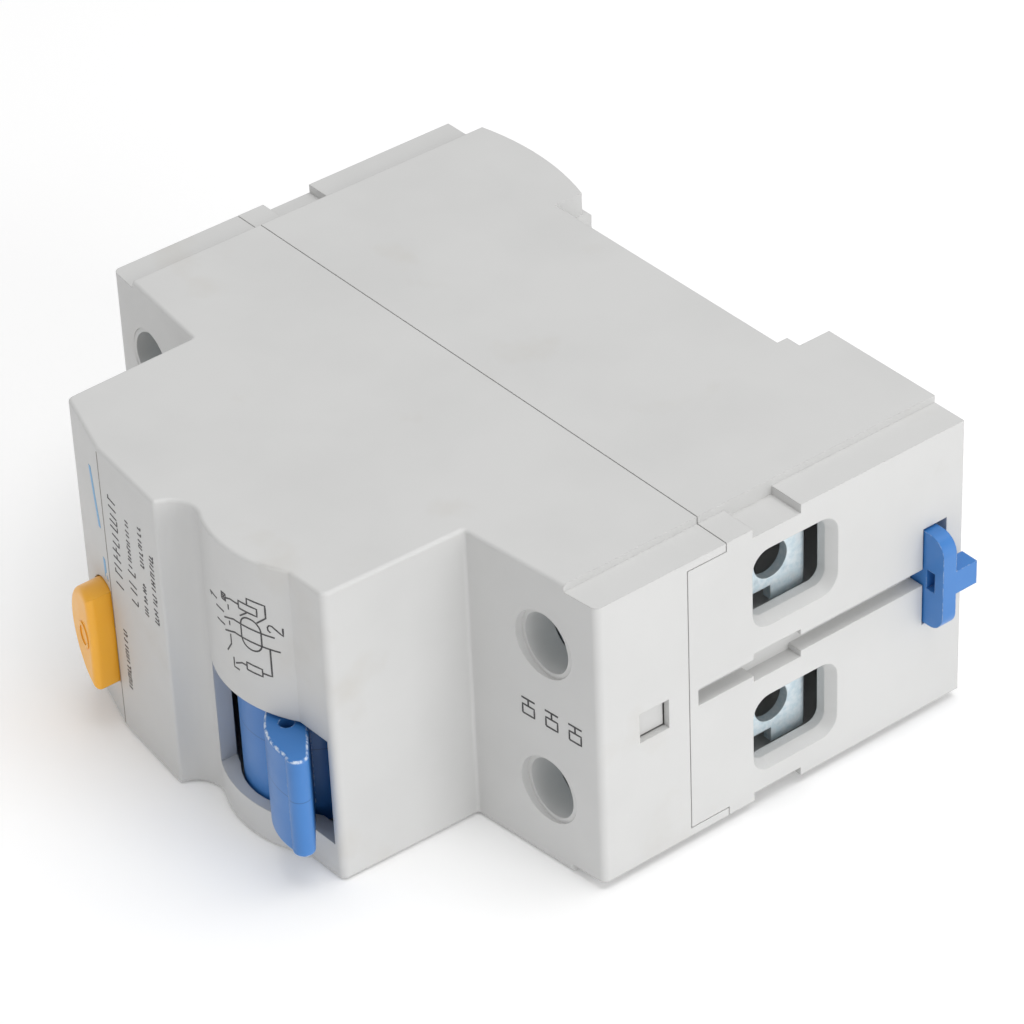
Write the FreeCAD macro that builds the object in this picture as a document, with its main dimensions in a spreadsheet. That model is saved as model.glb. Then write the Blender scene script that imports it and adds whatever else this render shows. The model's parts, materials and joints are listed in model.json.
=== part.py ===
import FreeCAD, Part
import Sketcher
import os
import re

# Two-pole residual current device for a 35 mm top-hat rail.
# It lies on its left side. The origin is where the rail's centre line meets the rail's front plane,
# half way across the device. +X runs to the load end, -X to the line end, -Y to the nose and the
# operating lever, +Y to the rail, and +Z across the two modules. Lengths are millimetres.

Vector = FreeCAD.Vector
doc = FreeCAD.newDocument("ResidualCurrentDevice")
sheet = doc.addObject("Spreadsheet::Sheet", "Sizes")

SIZES = {
    # casing
    "body_width": 35.5, "line_reach": 40.0, "load_reach": 40.4, "end_block": 4.3, "end_step": 0.84,
    "shoulder_high": 44.2, "shoulder_fall": 1.9, "shoulder_low": "=shoulder_high-shoulder_fall",
    "nose_foot": 22.65, "nose_tip": 22.2,
    "seam": 25.95, "seam_gap": 0.1, "corner_round": 0.8, "edge_round": 0.4, "side_wall": 1.85,
    "front_wall": 2.0, "rear_wall": 2.0, "line_rear": 2.9, "foot_rear": 5.4,
    # heights of the nose in front of the rail
    "line_corner": 60.2, "crease_side": 12.85, "crease_high": 63.1, "crest_side": 1.2,
    "crest_high": 64.3, "groove_side": 1.3, "groove_high": 61.75, "bulge_start": 3.6,
    "bulge_foot": 62.15, "bulge_side": 8.8, "bulge_high": 63.3, "bulge_end": 16.9,
    "bulge_low": 61.15, "load_corner": 61.0,
    # rail recess
    "rail_half": 17.5, "rail_play": 0.1, "seat_end": 18.4, "bump_high": 1.35, "bump_end": 20.3,
    "hook_reach": 2.9, "hook_gap": 1.3, "hook_tip": 2.4, "hook_slope": 0.6, "hook_rear": 4.4,
    "hook_half": 15.0, "foot_near": 3.7, "foot_mid": 26.5, "foot_high": 5.25, "foot_far": 4.35,
    # terminal chambers
    "pole_half": 9.0, "terminal_side": 33.0, "access_hole": 3.3, "access_rim": 3.8, "rim_deep": 0.6,
    "chamber_in": 24.2, "chamber_wall": 2.3, "chamber_fit": 0.9,
    "chamber_skin": 3.1, "chamber_front": "=shoulder_low-chamber_skin",
    "window_front": 22.0, "window_rear": 12.15, "window_half": 4.0, "window_round": 1.5,
    "ring_wide": 0.7, "ring_deep": 1.2,
    # marks in the end faces
    "notch_front": 22.6, "notch_rear": 16.4, "notch_deep": 1.0, "groove_half": 1.0,
    "groove_wide": 1.7, "groove_deep": 1.8, "groove_front": 29.8, "tongue_front": 30.9,
    "tongue_half": 15.85, "snap_front": 37.3, "snap_rear": 33.6, "snap_half": 1.75, "snap_skin": 0.8,
    "snap_fit": 0.15, "snap_arm": 1.3,
    # screw cages, with the screws run in
    "cage_wall": 2.0, "cage_travel": 8.0, "cage_clear": 0.2, "cage_half": 5.3, "cage_side": 1.2,
    "cage_inward": 4.3, "cage_outward": 4.0, "jaw_gap": 0.3, "jaw_thick": 1.2, "guard_thick": 1.1,
    "guard_end": 12.5, "guard_half": 5.0, "guard_neck": 3.2, "guard_shoulder": 17.4,
    "guard_hole": 2.2, "guard_round": 0.9, "chamber_clear": 0.5, "shaft_radius": 2.45,
    "thread_fit": 0.05, "head_radius": 3.6, "head_gap": 0.3, "head_tall": 2.6, "blade_wide": 0.9,
    "cross_half": 2.0, "recess_deep": 1.4, "strip_front": 22.9, "strip_thick": 1.2, "strip_half": 3.0,
    "strip_reach": 36.0, "strip_fit": 0.1,
    # lever, seen along its pin with the paddle standing straight out
    "lever_side": 9.3, "lever_high": 54.1, "lever_rest": 51.0, "drum_radius": 7.7, "drum_gap": 0.3,
    "drum_low": 15.2, "drum_high": 0.6, "paddle_low": 13.15, "paddle_high": 1.05, "paddle_deep": 5.0,
    "paddle_root": 3.4, "paddle_bulge": 4.3, "paddle_mid": 10.4, "paddle_shoulder": 15.0,
    "paddle_flat": 0.2, "paddle_tip": 16.1, "tip_line": 2.0, "tip_mid": 0.7, "tip_load": 0.3,
    "paddle_soft": 0.35,
    "seal_hole": 0.8, "seal_side": 2.1, "seal_high": 9.8, "slot_line": 3.0, "slot_load": 21.2,
    "slot_low": 13.55, "slot_high": 0.55, "pin_radius": 1.5, "pin_fit": 0.05, "pin_end": 17.0,
    "rib_low": 7.4, "rib_high": 9.2, "rib_half": 3.2, "crank": 3.2, "crank_turn": 83.4,
    "link_wire": 0.7, "link_fit": 0.08, "link_play": 0.5, "link_high": 1.6, "link_low": 3.2,
    "coil_radius": 2.7, "coil_wire": 0.35, "coil_pitch": 0.9, "coil_start": 3.0, "coil_end": 6.6,
    # contacts
    "carrier_side": 3.0, "carrier_high": 30.0, "carrier_open": 20.0, "hub_radius": 4.0,
    "carrier_half": 13.1, "holder_reach": 9.0, "holder_thick": 2.2, "holder_half": 3.7,
    "lug_reach": 11.2, "lug_low": 4.2, "link_arm": 9.2, "axle_radius": 1.25, "post_gap": 0.3,
    "post_half": 2.4, "arm_half": 2.5, "arm_thick": 1.2, "arm_root": 4.6, "arm_over": 2.2,
    "tip_radius": 2.0, "tip_thick": 1.0, "contact_side": 16.5, "contact_gap": 0.05, "leg_thick": 2.0,
    # summation transformer and primary conductors
    "core_side": 12.0, "core_high": 13.2, "core_out": 8.8, "core_in": 6.2, "core_half": 3.2,
    "case_wall": 0.9, "winding": 0.5, "wire_radius": 1.2, "wire_half": 2.4, "wire_in": 5.5,
    "wire_out": 18.6, "wire_high": 25.5, "load_start": 16.9,
    # relay and trip lever
    "relay_in": 6.0, "relay_out": 17.0, "relay_front": 14.0, "relay_rear": 2.3, "relay_half": 6.5,
    "relay_wall": 1.0, "plunger_side": 12.0, "plunger_radius": 1.2, "plunger_gap": 0.3,
    "plunger_fit": 0.08, "plunger_root": 5.0, "coil_gap": 0.1, "trip_side": 2.0,
    "trip_high": 19.3, "trip_hub": 2.0, "trip_half": 2.6, "trip_pin": 0.9, "trip_arm": 13.0,
    "trip_thick": 1.4, "trip_finger": 5.6, "cheek_thick": 1.2, "trip_gap": 0.3,
    # test button and test circuit
    "button_flat": 13.3, "button_bow": 0.25, "button_round": 20.0, "button_middle": 6.3,
    "button_half": 5.75, "button_proud": 3.0, "button_soft": 0.7, "button_fit": 0.15, "flange_front": 57.6,
    "flange_thick": 1.2, "flange_over": 0.4, "stem_radius": 1.6, "button_travel": 2.0,
    "button_clear": 0.2,
    "stem_side": 16.4, "button_coil": 1.5, "button_wire": 0.25, "button_pitch": 1.1,
    "coil_beside": 4.0,
    "board_front": 50.0, "board_thick": 1.6, "board_in": 5.0,
    "board_out": 20.2, "board_high": 0.4, "leaf_half": 1.5, "leaf_thick": 0.4, "leaf_front": 51.0,
    "resistor_radius": 1.1, "resistor_long": 6.4, "lead_radius": 0.3, "pip_side": 13.8,
    "pip_high": 0.8, "pip_radius": 0.35, "pip_deep": 0.4,
    # rail clip
    "clip_half": 5.7, "clip_slot_half": 6.0, "clip_slot_front": 0.1, "clip_slot_rear": 3.3,
    "clip_front": 0.25, "clip_thick": 1.8, "clip_start": 20.6, "clip_out": 2.9, "clip_round": 2.0,
    "clip_nose": 16.0, "nose_front": 1.45, "nose_slope": 2.2, "nose_rear": 3.15, "nose_end": 26.0,
    "nose_flat": 18.2, "eye_in": 1.85, "eye_long": 1.2, "eye_half": 1.2, "tab_half": 1.4,
    "tab_rear": 4.9, "tab_thick": 2.2,
    # how far a cutting tool runs past the face it opens
    "past": 1.0,
}

for row, (alias, value) in enumerate(SIZES.items(), start=1):
    sheet.set("A%d" % row, alias)
    sheet.set("B%d" % row, str(value))
    sheet.setAlias("B%d" % row, alias)
doc.recompute()

# Turns that carry a shape's own Z axis onto the axis it is drawn along.
ALONG = {
    "z": FreeCAD.Rotation(),
    "x": FreeCAD.Rotation(Vector(1, 1, 1), 120),
    "y": FreeCAD.Rotation(Vector(1, 1, 1), -120),
}
ORDER = {"z": ("x", "y", "z"), "x": ("y", "z", "x"), "y": ("z", "x", "y")}


def bound(text):
    """An expression with every size read from the sheet."""
    return re.sub(r"[a-z_]+", lambda m: "Sizes." + m.group(0) if m.group(0) in SIZES else m.group(0), text)


def number(text):
    return float(sheet.evalExpression(bound(text)))


def bind(item, prop, text):
    item.setExpression(prop, bound(text))


def place(item, along, first, second, start):
    """Set an object at (first, second) across its axis and at start along it."""
    item.Placement = FreeCAD.Placement(Vector(), ALONG[along])
    for axis, text in zip(ORDER[along], (first, second, start)):
        bind(item, "Placement.Base." + axis, text)
    return item


def box(name, x, y, z):
    """A block between two values on each axis."""
    item = doc.addObject("Part::Box", name)
    for prop, axis, (low, high) in zip(("Length", "Width", "Height"), "xyz", (x, y, z)):
        bind(item, prop, "(%s)-(%s)" % (high, low))
        bind(item, "Placement.Base." + axis, low)
    return item


def rod(name, along, first, second, start, end, radius):
    """A cylinder along one axis."""
    item = doc.addObject("Part::Cylinder", name)
    bind(item, "Radius", radius)
    bind(item, "Height", "(%s)-(%s)" % (end, start))
    return place(item, along, first, second, start)


def ball(name, x, y, z, radius):
    item = doc.addObject("Part::Sphere", name)
    bind(item, "Radius", radius)
    return place(item, "z", x, y, z)


def fuse(name, *shapes):
    item = doc.addObject("Part::MultiFuse", name)
    item.Shapes = list(shapes)
    return item


def cut(name, base, *tools):
    item = doc.addObject("Part::Cut", name)
    item.Base = base
    item.Tool = tools[0] if len(tools) == 1 else fuse(name + "_tools", *tools)
    return item


def common(name, first, second):
    item = doc.addObject("Part::Common", name)
    item.Base = first
    item.Tool = second
    return item


def pin_point(sketch, name, geometry, end, x, y):
    """Fix one end of a sketch line or arc at (x, y)."""
    for kind, axis, text in (("DistanceX", "x", x), ("DistanceY", "y", y)):
        index = sketch.addConstraint(Sketcher.Constraint(kind, -1, 1, geometry, end, number(text)))
        sketch.renameConstraint(index, name + axis)
        sketch.setExpression("Constraints." + name + axis, bound(text))


def same_point(first, second):
    return first.distanceToPoint(second) < 1e-6


def profile(name, points, start, length):
    """A pad of a closed outline. A point is (x, y), or (x, y, mid x, mid y) at the end of an arc."""
    body = doc.addObject("PartDesign::Body", name)
    sketch = body.newObject("Sketcher::SketchObject", name + "_sketch")
    plane = [f for f in body.Origin.OriginFeatures if f.Role == "XY_Plane"][0]
    sketch.AttachmentSupport = (plane, "")
    sketch.MapMode = "FlatFace"
    bind(sketch, "AttachmentOffset.Base.z", start)
    corners = [Vector(number(p[0]), number(p[1]), 0) for p in points]
    ends = []
    for i, point in enumerate(points):
        begin = corners[i - 1]
        if len(point) == 2:
            sketch.addGeometry(Part.LineSegment(begin, corners[i]))
        else:
            middle = Vector(number(point[2]), number(point[3]), 0)
            sketch.addGeometry(Part.Arc(begin, middle, corners[i]))
        forward = same_point(sketch.getPoint(i, 2), corners[i])
        ends.append((1, 2) if forward else (2, 1))
    for i, point in enumerate(points):
        following = (i + 1) % len(points)
        joined = Sketcher.Constraint("Coincident", i, ends[i][1], following, ends[following][0])
        sketch.addConstraint(joined)
        pin_point(sketch, "p%d" % i, i, ends[i][1], point[0], point[1])
        if len(point) == 4:
            middle = Vector(number(point[2]), number(point[3]), 0)
            mark = sketch.addGeometry(Part.Point(middle), True)
            pin_point(sketch, "m%d" % i, mark, 1, point[2], point[3])
            sketch.addConstraint(Sketcher.Constraint("PointOnObject", mark, 1, i))
    pad = body.newObject("PartDesign::Pad", name + "_pad")
    pad.Profile = sketch
    bind(pad, "Length", length)
    body.Tip = pad
    return body


def rounded(name, along, first, second, radius, start, end):
    """A block with rounded corners along one axis; first and second are (low, high) pairs."""
    (left, right), (low, high) = first, second
    soft = "(1-cos(45))*(%s)" % radius
    points = [
        ("(%s)-(%s)" % (right, radius), low),
        (right, "(%s)+(%s)" % (low, radius), "(%s)-%s" % (right, soft), "(%s)+%s" % (low, soft)),
        (right, "(%s)-(%s)" % (high, radius)),
        ("(%s)-(%s)" % (right, radius), high, "(%s)-%s" % (right, soft), "(%s)-%s" % (high, soft)),
        ("(%s)+(%s)" % (left, radius), high),
        (left, "(%s)-(%s)" % (high, radius), "(%s)+%s" % (left, soft), "(%s)-%s" % (high, soft)),
        (left, "(%s)+(%s)" % (low, radius)),
        ("(%s)+(%s)" % (left, radius), low, "(%s)+%s" % (left, soft), "(%s)+%s" % (low, soft)),
    ]
    body = profile(name, points, "0", "(%s)-(%s)" % (end, start))
    return place(body, along, "0", "0", start)


def soften(name, base, radius, wanted):
    """Round the edges of a solid that the test picks out."""
    doc.recompute()
    item = doc.addObject("Part::Fillet", name)
    item.Base = base
    size = number(radius)
    item.Edges = [(i, size, size) for i, edge in enumerate(base.Shape.Edges, start=1) if wanted(edge)]
    return item

# ---- Casing -------------------------------------------------------------------------------------

HALF = "body_width/2"
INNER = "(body_width/2-side_wall)"
ENDS = {"line": -1, "load": 1}
POLES = {"neutral": -1, "phase": 1}


def span(side, near, far):
    """A (low, high) pair between two distances on the negative or positive side."""
    if side > 0:
        return (near, far)
    return ("-(%s)" % far, "-(%s)" % near)


def nose_points(wall):
    """The nose from its line-side corner to its load-side corner, a wall's thickness inside."""
    high = {key: "-(%s-%s)" % (key, wall) for key in (
        "line_corner", "crease_high", "crest_high", "bulge_foot", "bulge_low", "load_corner")}
    half = "nose_tip-(%s)" % wall
    return [
        ("-(%s)" % half, high["line_corner"]),
        ("-crease_side", high["crease_high"]),
        ("-crest_side", high["crest_high"]),
        ("bulge_start", high["bulge_foot"], "groove_side", "-(groove_high-%s)" % wall),
        ("bulge_end", high["bulge_low"], "bulge_side", "-(bulge_high-%s)" % wall),
        (half, high["load_corner"]),
    ]


def step_tools(name, rear, front):
    """Blocks that take each end down a step on both sides."""
    tools = []
    for end, sign in ENDS.items():
        x = span(sign, "%s_reach-end_block" % end, "%s_reach+past" % end)
        for pole, side in POLES.items():
            z = span(side, HALF + "-end_step", HALF + "+past")
            tools.append(box("%s_%s_%s_step" % (name, end, pole), x, (front, rear), z))
    return tools


def chamber_tools(name, front, rear):
    """The four terminal chambers between two heights."""
    tools = []
    for end, sign in ENDS.items():
        x = span(sign, "chamber_in", "%s_reach-chamber_wall" % end)
        for pole, side in POLES.items():
            z = span(side, "pole_half-cage_half-chamber_fit", "pole_half+cage_half+chamber_fit")
            tools.append(box("%s_%s_%s_chamber" % (name, end, pole), x, (front, rear), z))
    return tools


def along_z(edge):
    first, last = [v.Point for v in edge.Vertexes] if len(edge.Vertexes) == 2 else (Vector(), Vector())
    return abs(first.z - last.z) > 1


def cover_blank():
    """The outside of the front cover, with its corners and its outer edges rounded."""
    points = [("-line_reach", "-seam-seam_gap"), ("-line_reach", "-shoulder_low"),
              ("-nose_foot", "-shoulder_high")] + nose_points("0")
    points += [("nose_foot", "-shoulder_high"), ("load_reach", "-shoulder_low"),
               ("load_reach", "-seam-seam_gap")]
    blank = profile("cover_outline", points, "-" + HALF, "body_width")
    seam = -number("seam+seam_gap")
    shoulder = -number("shoulder_high")
    foot = number("nose_foot")

    def corner(edge):
        point = edge.CenterOfMass
        at_end = abs(point.x) > foot + 1 and point.y < seam - 1
        at_nose = abs(point.x) > foot - 1 and point.y < shoulder - 1
        return along_z(edge) and (at_end or at_nose)

    cornered = soften("cover_corners", blank, "corner_round", corner)
    half = number(HALF)
    return soften("cover_edges", cornered, "edge_round", lambda edge: all(
        abs(abs(v.Z) - half) < 1e-6 and v.Y < seam + 1e-6 for v in edge.Vertexes) and (
        abs(edge.CenterOfMass.y - seam) > 1e-3))


def button_outline(name, grow, start, end):
    """The D of the test button, flat towards the lever, between two heights."""
    low = "-button_middle-button_half-(%s)" % grow
    high = "-button_middle+button_half+(%s)" % grow
    points = [
        (high, "-button_flat+(%s)" % grow, "-button_middle", "-button_flat+(%s)+button_bow" % grow),
        (low, "-button_flat+(%s)" % grow, "-button_middle", "-button_round-(%s)" % grow),
    ]
    return place(profile(name, points, "0", "(%s)-(%s)" % (end, start)), "y", "0", "0", start)


def front_cover():
    """The front shell: shoulders over the terminals and the nose with its two openings."""
    tools = step_tools("cover", "-seam", "-line_corner")
    cavity = profile("nose_cavity", [("-(nose_tip-side_wall)", "-seam+past")] + nose_points("front_wall")
                     + [("nose_tip-side_wall", "-seam+past")], "-" + INNER, "2*" + INNER)
    tools.append(cavity)
    tools += chamber_tools("cover", "-chamber_front", "-seam+past")
    for end, sign in ENDS.items():
        for pole, side in POLES.items():
            name = "%s_%s_access" % (end, pole)
            x = "%d*terminal_side" % sign
            z = "%d*pole_half" % side
            tools.append(rod(name, "y", z, x, "-shoulder_high-past", "-chamber_front+past", "access_hole"))
            tools.append(rod(name + "_rim", "y", z, x, "-shoulder_high-past",
                             "-(shoulder_low+shoulder_high)/2+rim_deep", "access_rim"))
        near = "%s_reach-chamber_wall-seam_gap" % end
        far = "%s_reach+past" % end
        tools.append(box(end + "_tongue_seat", span(sign, near, far),
                         ("-tongue_front-seam_gap", "-seam+past"),
                         ("-tongue_half-seam_gap", "tongue_half+seam_gap")))
        tools.append(box(end + "_snap_window", span(sign, "%s_reach-chamber_wall" % end, far),
                         ("-snap_front", "-snap_rear"), ("-snap_half", "snap_half")))
        tools.append(box(end + "_snap_pocket",
                         span(sign, "%s_reach-snap_skin-2*snap_arm-snap_fit" % end,
                              "%s_reach-snap_skin" % end),
                         ("-snap_front-snap_fit", "-seam+past"),
                         ("-snap_half-snap_fit", "snap_half+snap_fit")))
    tools.append(box("lever_slot", ("slot_line", "slot_load"), ("-crest_high-past", "-lever_high"),
                     ("-slot_low", "-slot_high")))
    tools.append(rod("drum_room", "z", "lever_side", "-lever_high", "-drum_low-drum_gap",
                     "drum_high+drum_gap", "drum_radius+drum_gap"))
    tools.append(rod("pin_seat", "z", "lever_side", "-lever_high", "-pin_end", "0", "pin_radius"))
    tools.append(button_outline("button_hole", "button_fit", "-crest_high-past", "-flange_front"))
    tools.append(rod("front_pip", "y", "pip_high", "-pip_side", "-crest_high", "-crease_high+pip_deep",
                     "pip_radius"))
    shell = cut("cover_shell", cover_blank(), *tools)
    rib = box("pin_rib", ("lever_side-rib_half", "lever_side+rib_half"),
              ("-bulge_low", "-lever_high+rib_half"), ("rib_low", "rib_high"))
    rib_bore = rod("rib_bore", "z", "lever_side", "-lever_high", "rib_low-past", "rib_high+past",
                   "pin_radius")
    inside = common("rib_inside", cut("rib_plate", rib, rib_bore), cavity)
    return fuse("front_cover", shell, inside)


def base_blank():
    """The outside of the rear base: feet on both sides of the rail recess and the fixed hook."""
    edge = "rail_half+rail_play"
    points = [
        ("-line_reach", "-seam"),
        ("-line_reach", "line_rear"),
        ("-line_reach+end_block", "line_rear"),
        ("-line_reach+end_block", "foot_far"),
        ("-(%s)" % edge, "foot_near", "-foot_mid", "foot_high"),
        ("-(%s)" % edge, "0"),
        ("seat_end", "0"),
        ("seat_end", "bump_high"),
        ("bump_end", "bump_high"),
        ("bump_end", "foot_rear"),
        ("load_reach", "foot_rear"),
        ("load_reach", "-seam"),
    ]
    blank = profile("base_outline", points, "-" + HALF, "body_width")
    lip = profile("rail_hook", [
        ("-(%s)-past" % edge, "hook_gap"),
        ("-(rail_half-hook_reach)", "hook_gap"),
        ("-(rail_half-hook_reach)", "hook_tip"),
        ("-(rail_half-hook_slope)", "hook_rear"),
        ("-(%s)-past" % edge, "hook_rear"),
    ], "-hook_half", "2*hook_half")
    return fuse("base_blank", blank, lip)


def window_tools(end, sign, pole, side):
    """A rounded cable entry with a funnel that leads the wire in."""
    name = "%s_%s_window" % (end, pole)
    face = "%s_reach" % end
    # The funnel is drawn from its own start, which is its wide end on the line side.
    grow = "0" if sign > 0 else "(ring_wide/ring_deep*(ring_deep+past))"
    y = ("-window_front-%s" % grow, "-window_rear+%s" % grow)
    z = span(side, "pole_half-window_half-%s" % grow, "pole_half+window_half+%s" % grow)
    funnel = rounded(name + "_funnel", "x", y, z, "window_round+%s" % grow,
                     *span(sign, face + "-ring_deep", face + "+past"))
    bind(doc.getObject(name + "_funnel_pad"), "TaperAngle", "%d*atan(ring_wide/ring_deep)" % sign)
    bore = rounded(name, "x", ("-window_front", "-window_rear"),
                   span(side, "pole_half-window_half", "pole_half+window_half"), "window_round",
                   *span(sign, face + "-chamber_wall-past", face + "+past"))
    return [bore, funnel]


def rear_base():
    """The rear shell: terminal chambers with cable entries, mechanism space and rail recess."""
    tools = step_tools("base", "foot_rear+past", "-seam-past")
    tools.append(box("base_cavity", ("-(nose_tip-side_wall)", "nose_tip-side_wall"),
                     ("-seam-past", "-rear_wall"), ("-" + INNER, INNER)))
    tools += chamber_tools("base", "-seam-past", "-(guard_end-cage_travel-chamber_clear)")
    for end, sign in ENDS.items():
        face = "%s_reach" % end
        for pole, side in POLES.items():
            tools += window_tools(end, sign, pole, side)
            tools.append(box("%s_%s_notch" % (end, pole), span(sign, face + "-end_block", face + "+past"),
                             ("-notch_front", "-notch_rear"),
                             span(side, HALF + "-end_step-notch_deep", HALF)))
            tools.append(box("%s_%s_strip_way" % (end, pole),
                             span(sign, "nose_tip-side_wall-past", "chamber_in+past"),
                             ("-seam-past", "-(strip_front-strip_thick)"),
                             span(side, "pole_half-strip_half-strip_fit",
                                  "pole_half+strip_half+strip_fit")))
        tools.append(box(end + "_wide_groove", span(sign, face + "-groove_deep", face + "+past"),
                         ("-notch_front", "-notch_rear"), ("-groove_wide", "groove_wide")))
    tools.append(box("clip_slot", ("bump_end-past", "load_reach+past"),
                     ("clip_slot_front", "clip_slot_rear"), ("-clip_slot_half", "clip_slot_half")))
    shell = cut("base_shell", base_blank(), *tools)
    parts = [shell]
    grooves = []
    for end, sign in ENDS.items():
        face = "%s_reach" % end
        parts.append(box(end + "_tongue", span(sign, face + "-chamber_wall", face),
                         ("-tongue_front", "-seam"), ("-tongue_half", "tongue_half")))
        parts.append(box(end + "_snap_arm",
                         span(sign, face + "-snap_skin-2*snap_arm", face + "-snap_skin-snap_arm"),
                         ("-snap_front+snap_fit", "-seam"), ("-snap_half", "snap_half")))
        parts.append(box(end + "_snap_root",
                         span(sign, face + "-snap_skin-2*snap_arm", face + "-chamber_wall"),
                         ("-tongue_front", "-seam"), ("-snap_half", "snap_half")))
        parts.append(box(end + "_snap_head",
                         span(sign, face + "-snap_skin-snap_arm", face + "-snap_skin"),
                         ("-snap_front+snap_fit", "-snap_rear-snap_fit"),
                         ("-snap_half+snap_fit", "snap_half-snap_fit")))
        grooves.append(box(end + "_groove", span(sign, face + "-groove_deep", face + "+past"),
                           ("-groove_front", "clip_slot_front"), ("-groove_half", "groove_half")))
    for pole, side in POLES.items():
        z = span(side, "carrier_half+post_gap", INNER)
        parts.append(box(pole + "_axle_post", ("carrier_side-post_half", "carrier_side+post_half"),
                         ("-carrier_high-post_half", "-rear_wall"), z))
        z = span(side, "trip_half+trip_gap", "trip_half+trip_gap+cheek_thick")
        parts.append(box(pole + "_trip_cheek", ("-trip_side-trip_hub", "-trip_side+trip_hub"),
                         ("-trip_high-trip_hub", "-rear_wall"), z))
    whole = fuse("base_with_arms", *parts)
    axle_seat = rod("axle_seat", "z", "carrier_side", "-carrier_high", "-" + INNER, INNER, "axle_radius")
    trip_seat = rod("trip_seat", "z", "-trip_side", "-trip_high", "-trip_half-trip_gap-cheek_thick",
                    "trip_half+trip_gap+cheek_thick", "trip_pin")
    return cut("rear_base", whole, axle_seat, trip_seat, *grooves)


# ---- Terminals ----------------------------------------------------------------------------------

def clamp_screw(name, sign, side):
    """A screw with a combined slot and cross in its cheese head."""
    z = "%d*pole_half" % side
    x = "%d*terminal_side" % sign
    top = "-chamber_front+head_gap"
    head = rod(name + "_head", "y", z, x, top, top + "+head_tall", "head_radius")
    shaft = rod(name + "_shaft", "y", z, x, top + "+head_tall", "-strip_front-contact_gap",
                "shaft_radius")
    y = (top + "-past", top + "+recess_deep")
    slot = box(name + "_slot", (x + "-head_radius-past", x + "+head_radius+past"), y,
               (z + "-blade_wide/2", z + "+blade_wide/2"))
    cross = box(name + "_cross", (x + "-blade_wide/2", x + "+blade_wide/2"), y,
                (z + "-cross_half", z + "+cross_half"))
    return cut(name, fuse(name + "_blank", head, shaft), slot, cross)


def clamp_cage(name, sign, side):
    """A cage run up to the strip: threaded wall, two sides, jaw, and a guard that hides the way in."""
    z = "%d*pole_half" % side
    x = span(sign, "terminal_side-cage_inward", "terminal_side+cage_outward")
    jaw = "-strip_front+strip_thick+jaw_gap"
    wall = "-strip_front-cage_clear-cage_travel"
    outer = box(name + "_outer", x, (wall + "-cage_wall", jaw + "+jaw_thick"),
                (z + "-cage_half", z + "+cage_half"))
    inner = box(name + "_inner",
                span(sign, "terminal_side-cage_inward-past", "terminal_side+cage_outward+past"),
                (wall, jaw), (z + "-cage_half+cage_side", z + "+cage_half-cage_side"))
    thread = rod(name + "_thread", "y", z, "%d*terminal_side" % sign, wall + "-cage_wall-past",
                 wall + "+past", "shaft_radius+thread_fit")
    x = span(sign, "terminal_side+cage_outward-guard_thick", "terminal_side+cage_outward")
    neck = box(name + "_neck", x, (jaw, "-guard_shoulder"), (z + "-guard_neck", z + "+guard_neck"))
    sheet_end = box(name + "_sheet", x, ("-guard_shoulder", "-guard_end"),
                    (z + "-guard_half", z + "+guard_half"))
    face = number("%d*(terminal_side+cage_outward)" % sign)
    rear = number("-guard_end")
    sheet_soft = soften(name + "_guard", sheet_end, "guard_round", lambda edge: all(
        abs(v.X - face) < 1e-6 and abs(v.Y - rear) < 1e-6 for v in edge.Vertexes))
    eye = rod(name + "_eye", "x", "-guard_shoulder", z, x[0] + "-past", x[1] + "+past", "guard_hole")
    return cut(name, fuse(name + "_blank", cut(name + "_ring", outer, inner), neck, sheet_soft),
               thread, eye)


def line_strip(name, side):
    """The fixed contact of one pole on the strip that runs to its line terminal."""
    y = ("-strip_front", "-strip_front+strip_thick")
    z = span(side, "pole_half-strip_half", "pole_half+strip_half")
    strip = box(name + "_strip", ("-strip_reach", "-contact_side+leg_thick/2"), y, z)
    top = "-(carrier_high-arm_thick/2-2*tip_thick-contact_gap)"
    leg = box(name + "_leg", ("-contact_side-leg_thick/2", "-contact_side+leg_thick/2"),
              (top, "-strip_front"), span(side, "pole_half-arm_half", "pole_half+arm_half"))
    face = rod(name + "_face", "y", "%d*pole_half" % side, "-contact_side", top + "-tip_thick", top,
               "tip_radius")
    return fuse(name, strip, leg, face)


def load_strip(name, side):
    """The plain strip under a load terminal."""
    return box(name, ("load_start", "strip_reach"), ("-strip_front", "-strip_front+strip_thick"),
               span(side, "pole_half-strip_half", "pole_half+strip_half"))


def primary_wire(name, side):
    """One pole's conductor, from beside the moving contact through the transformer."""
    outer = "%d*pole_half" % side
    inner = "%d*wire_half" % side
    y = "-core_high"
    end = "-strip_front+strip_thick"
    z = span(side, "wire_half", "pole_half")
    return fuse(
        name,
        rod(name + "_drop", "y", outer, "wire_in", "-wire_high", y, "wire_radius"),
        rod(name + "_in", "z", "wire_in", y, z[0], z[1], "wire_radius"),
        rod(name + "_through", "x", y, inner, "wire_in", "wire_out", "wire_radius"),
        rod(name + "_out", "z", "wire_out", y, z[0], z[1], "wire_radius"),
        rod(name + "_rise", "y", outer, "wire_out", end, y, "wire_radius"),
        *[ball("%s_bend_%d" % (name, i), x, y, z, "wire_radius") for i, (x, z) in enumerate(
            [("wire_in", outer), ("wire_in", inner), ("wire_out", inner), ("wire_out", outer)])])


# ---- Lever, link and contacts -------------------------------------------------------------------

def turned(item, x, y, angle):
    """Stand a shape drawn about its pivot at (x, y), turned about +Z."""
    item.Placement = FreeCAD.Placement(Vector(), FreeCAD.Rotation(Vector(0, 0, 1), 1))
    bind(item, "Placement.Rotation.Angle", angle)
    bind(item, "Placement.Base.x", x)
    bind(item, "Placement.Base.y", y)
    return item


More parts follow.
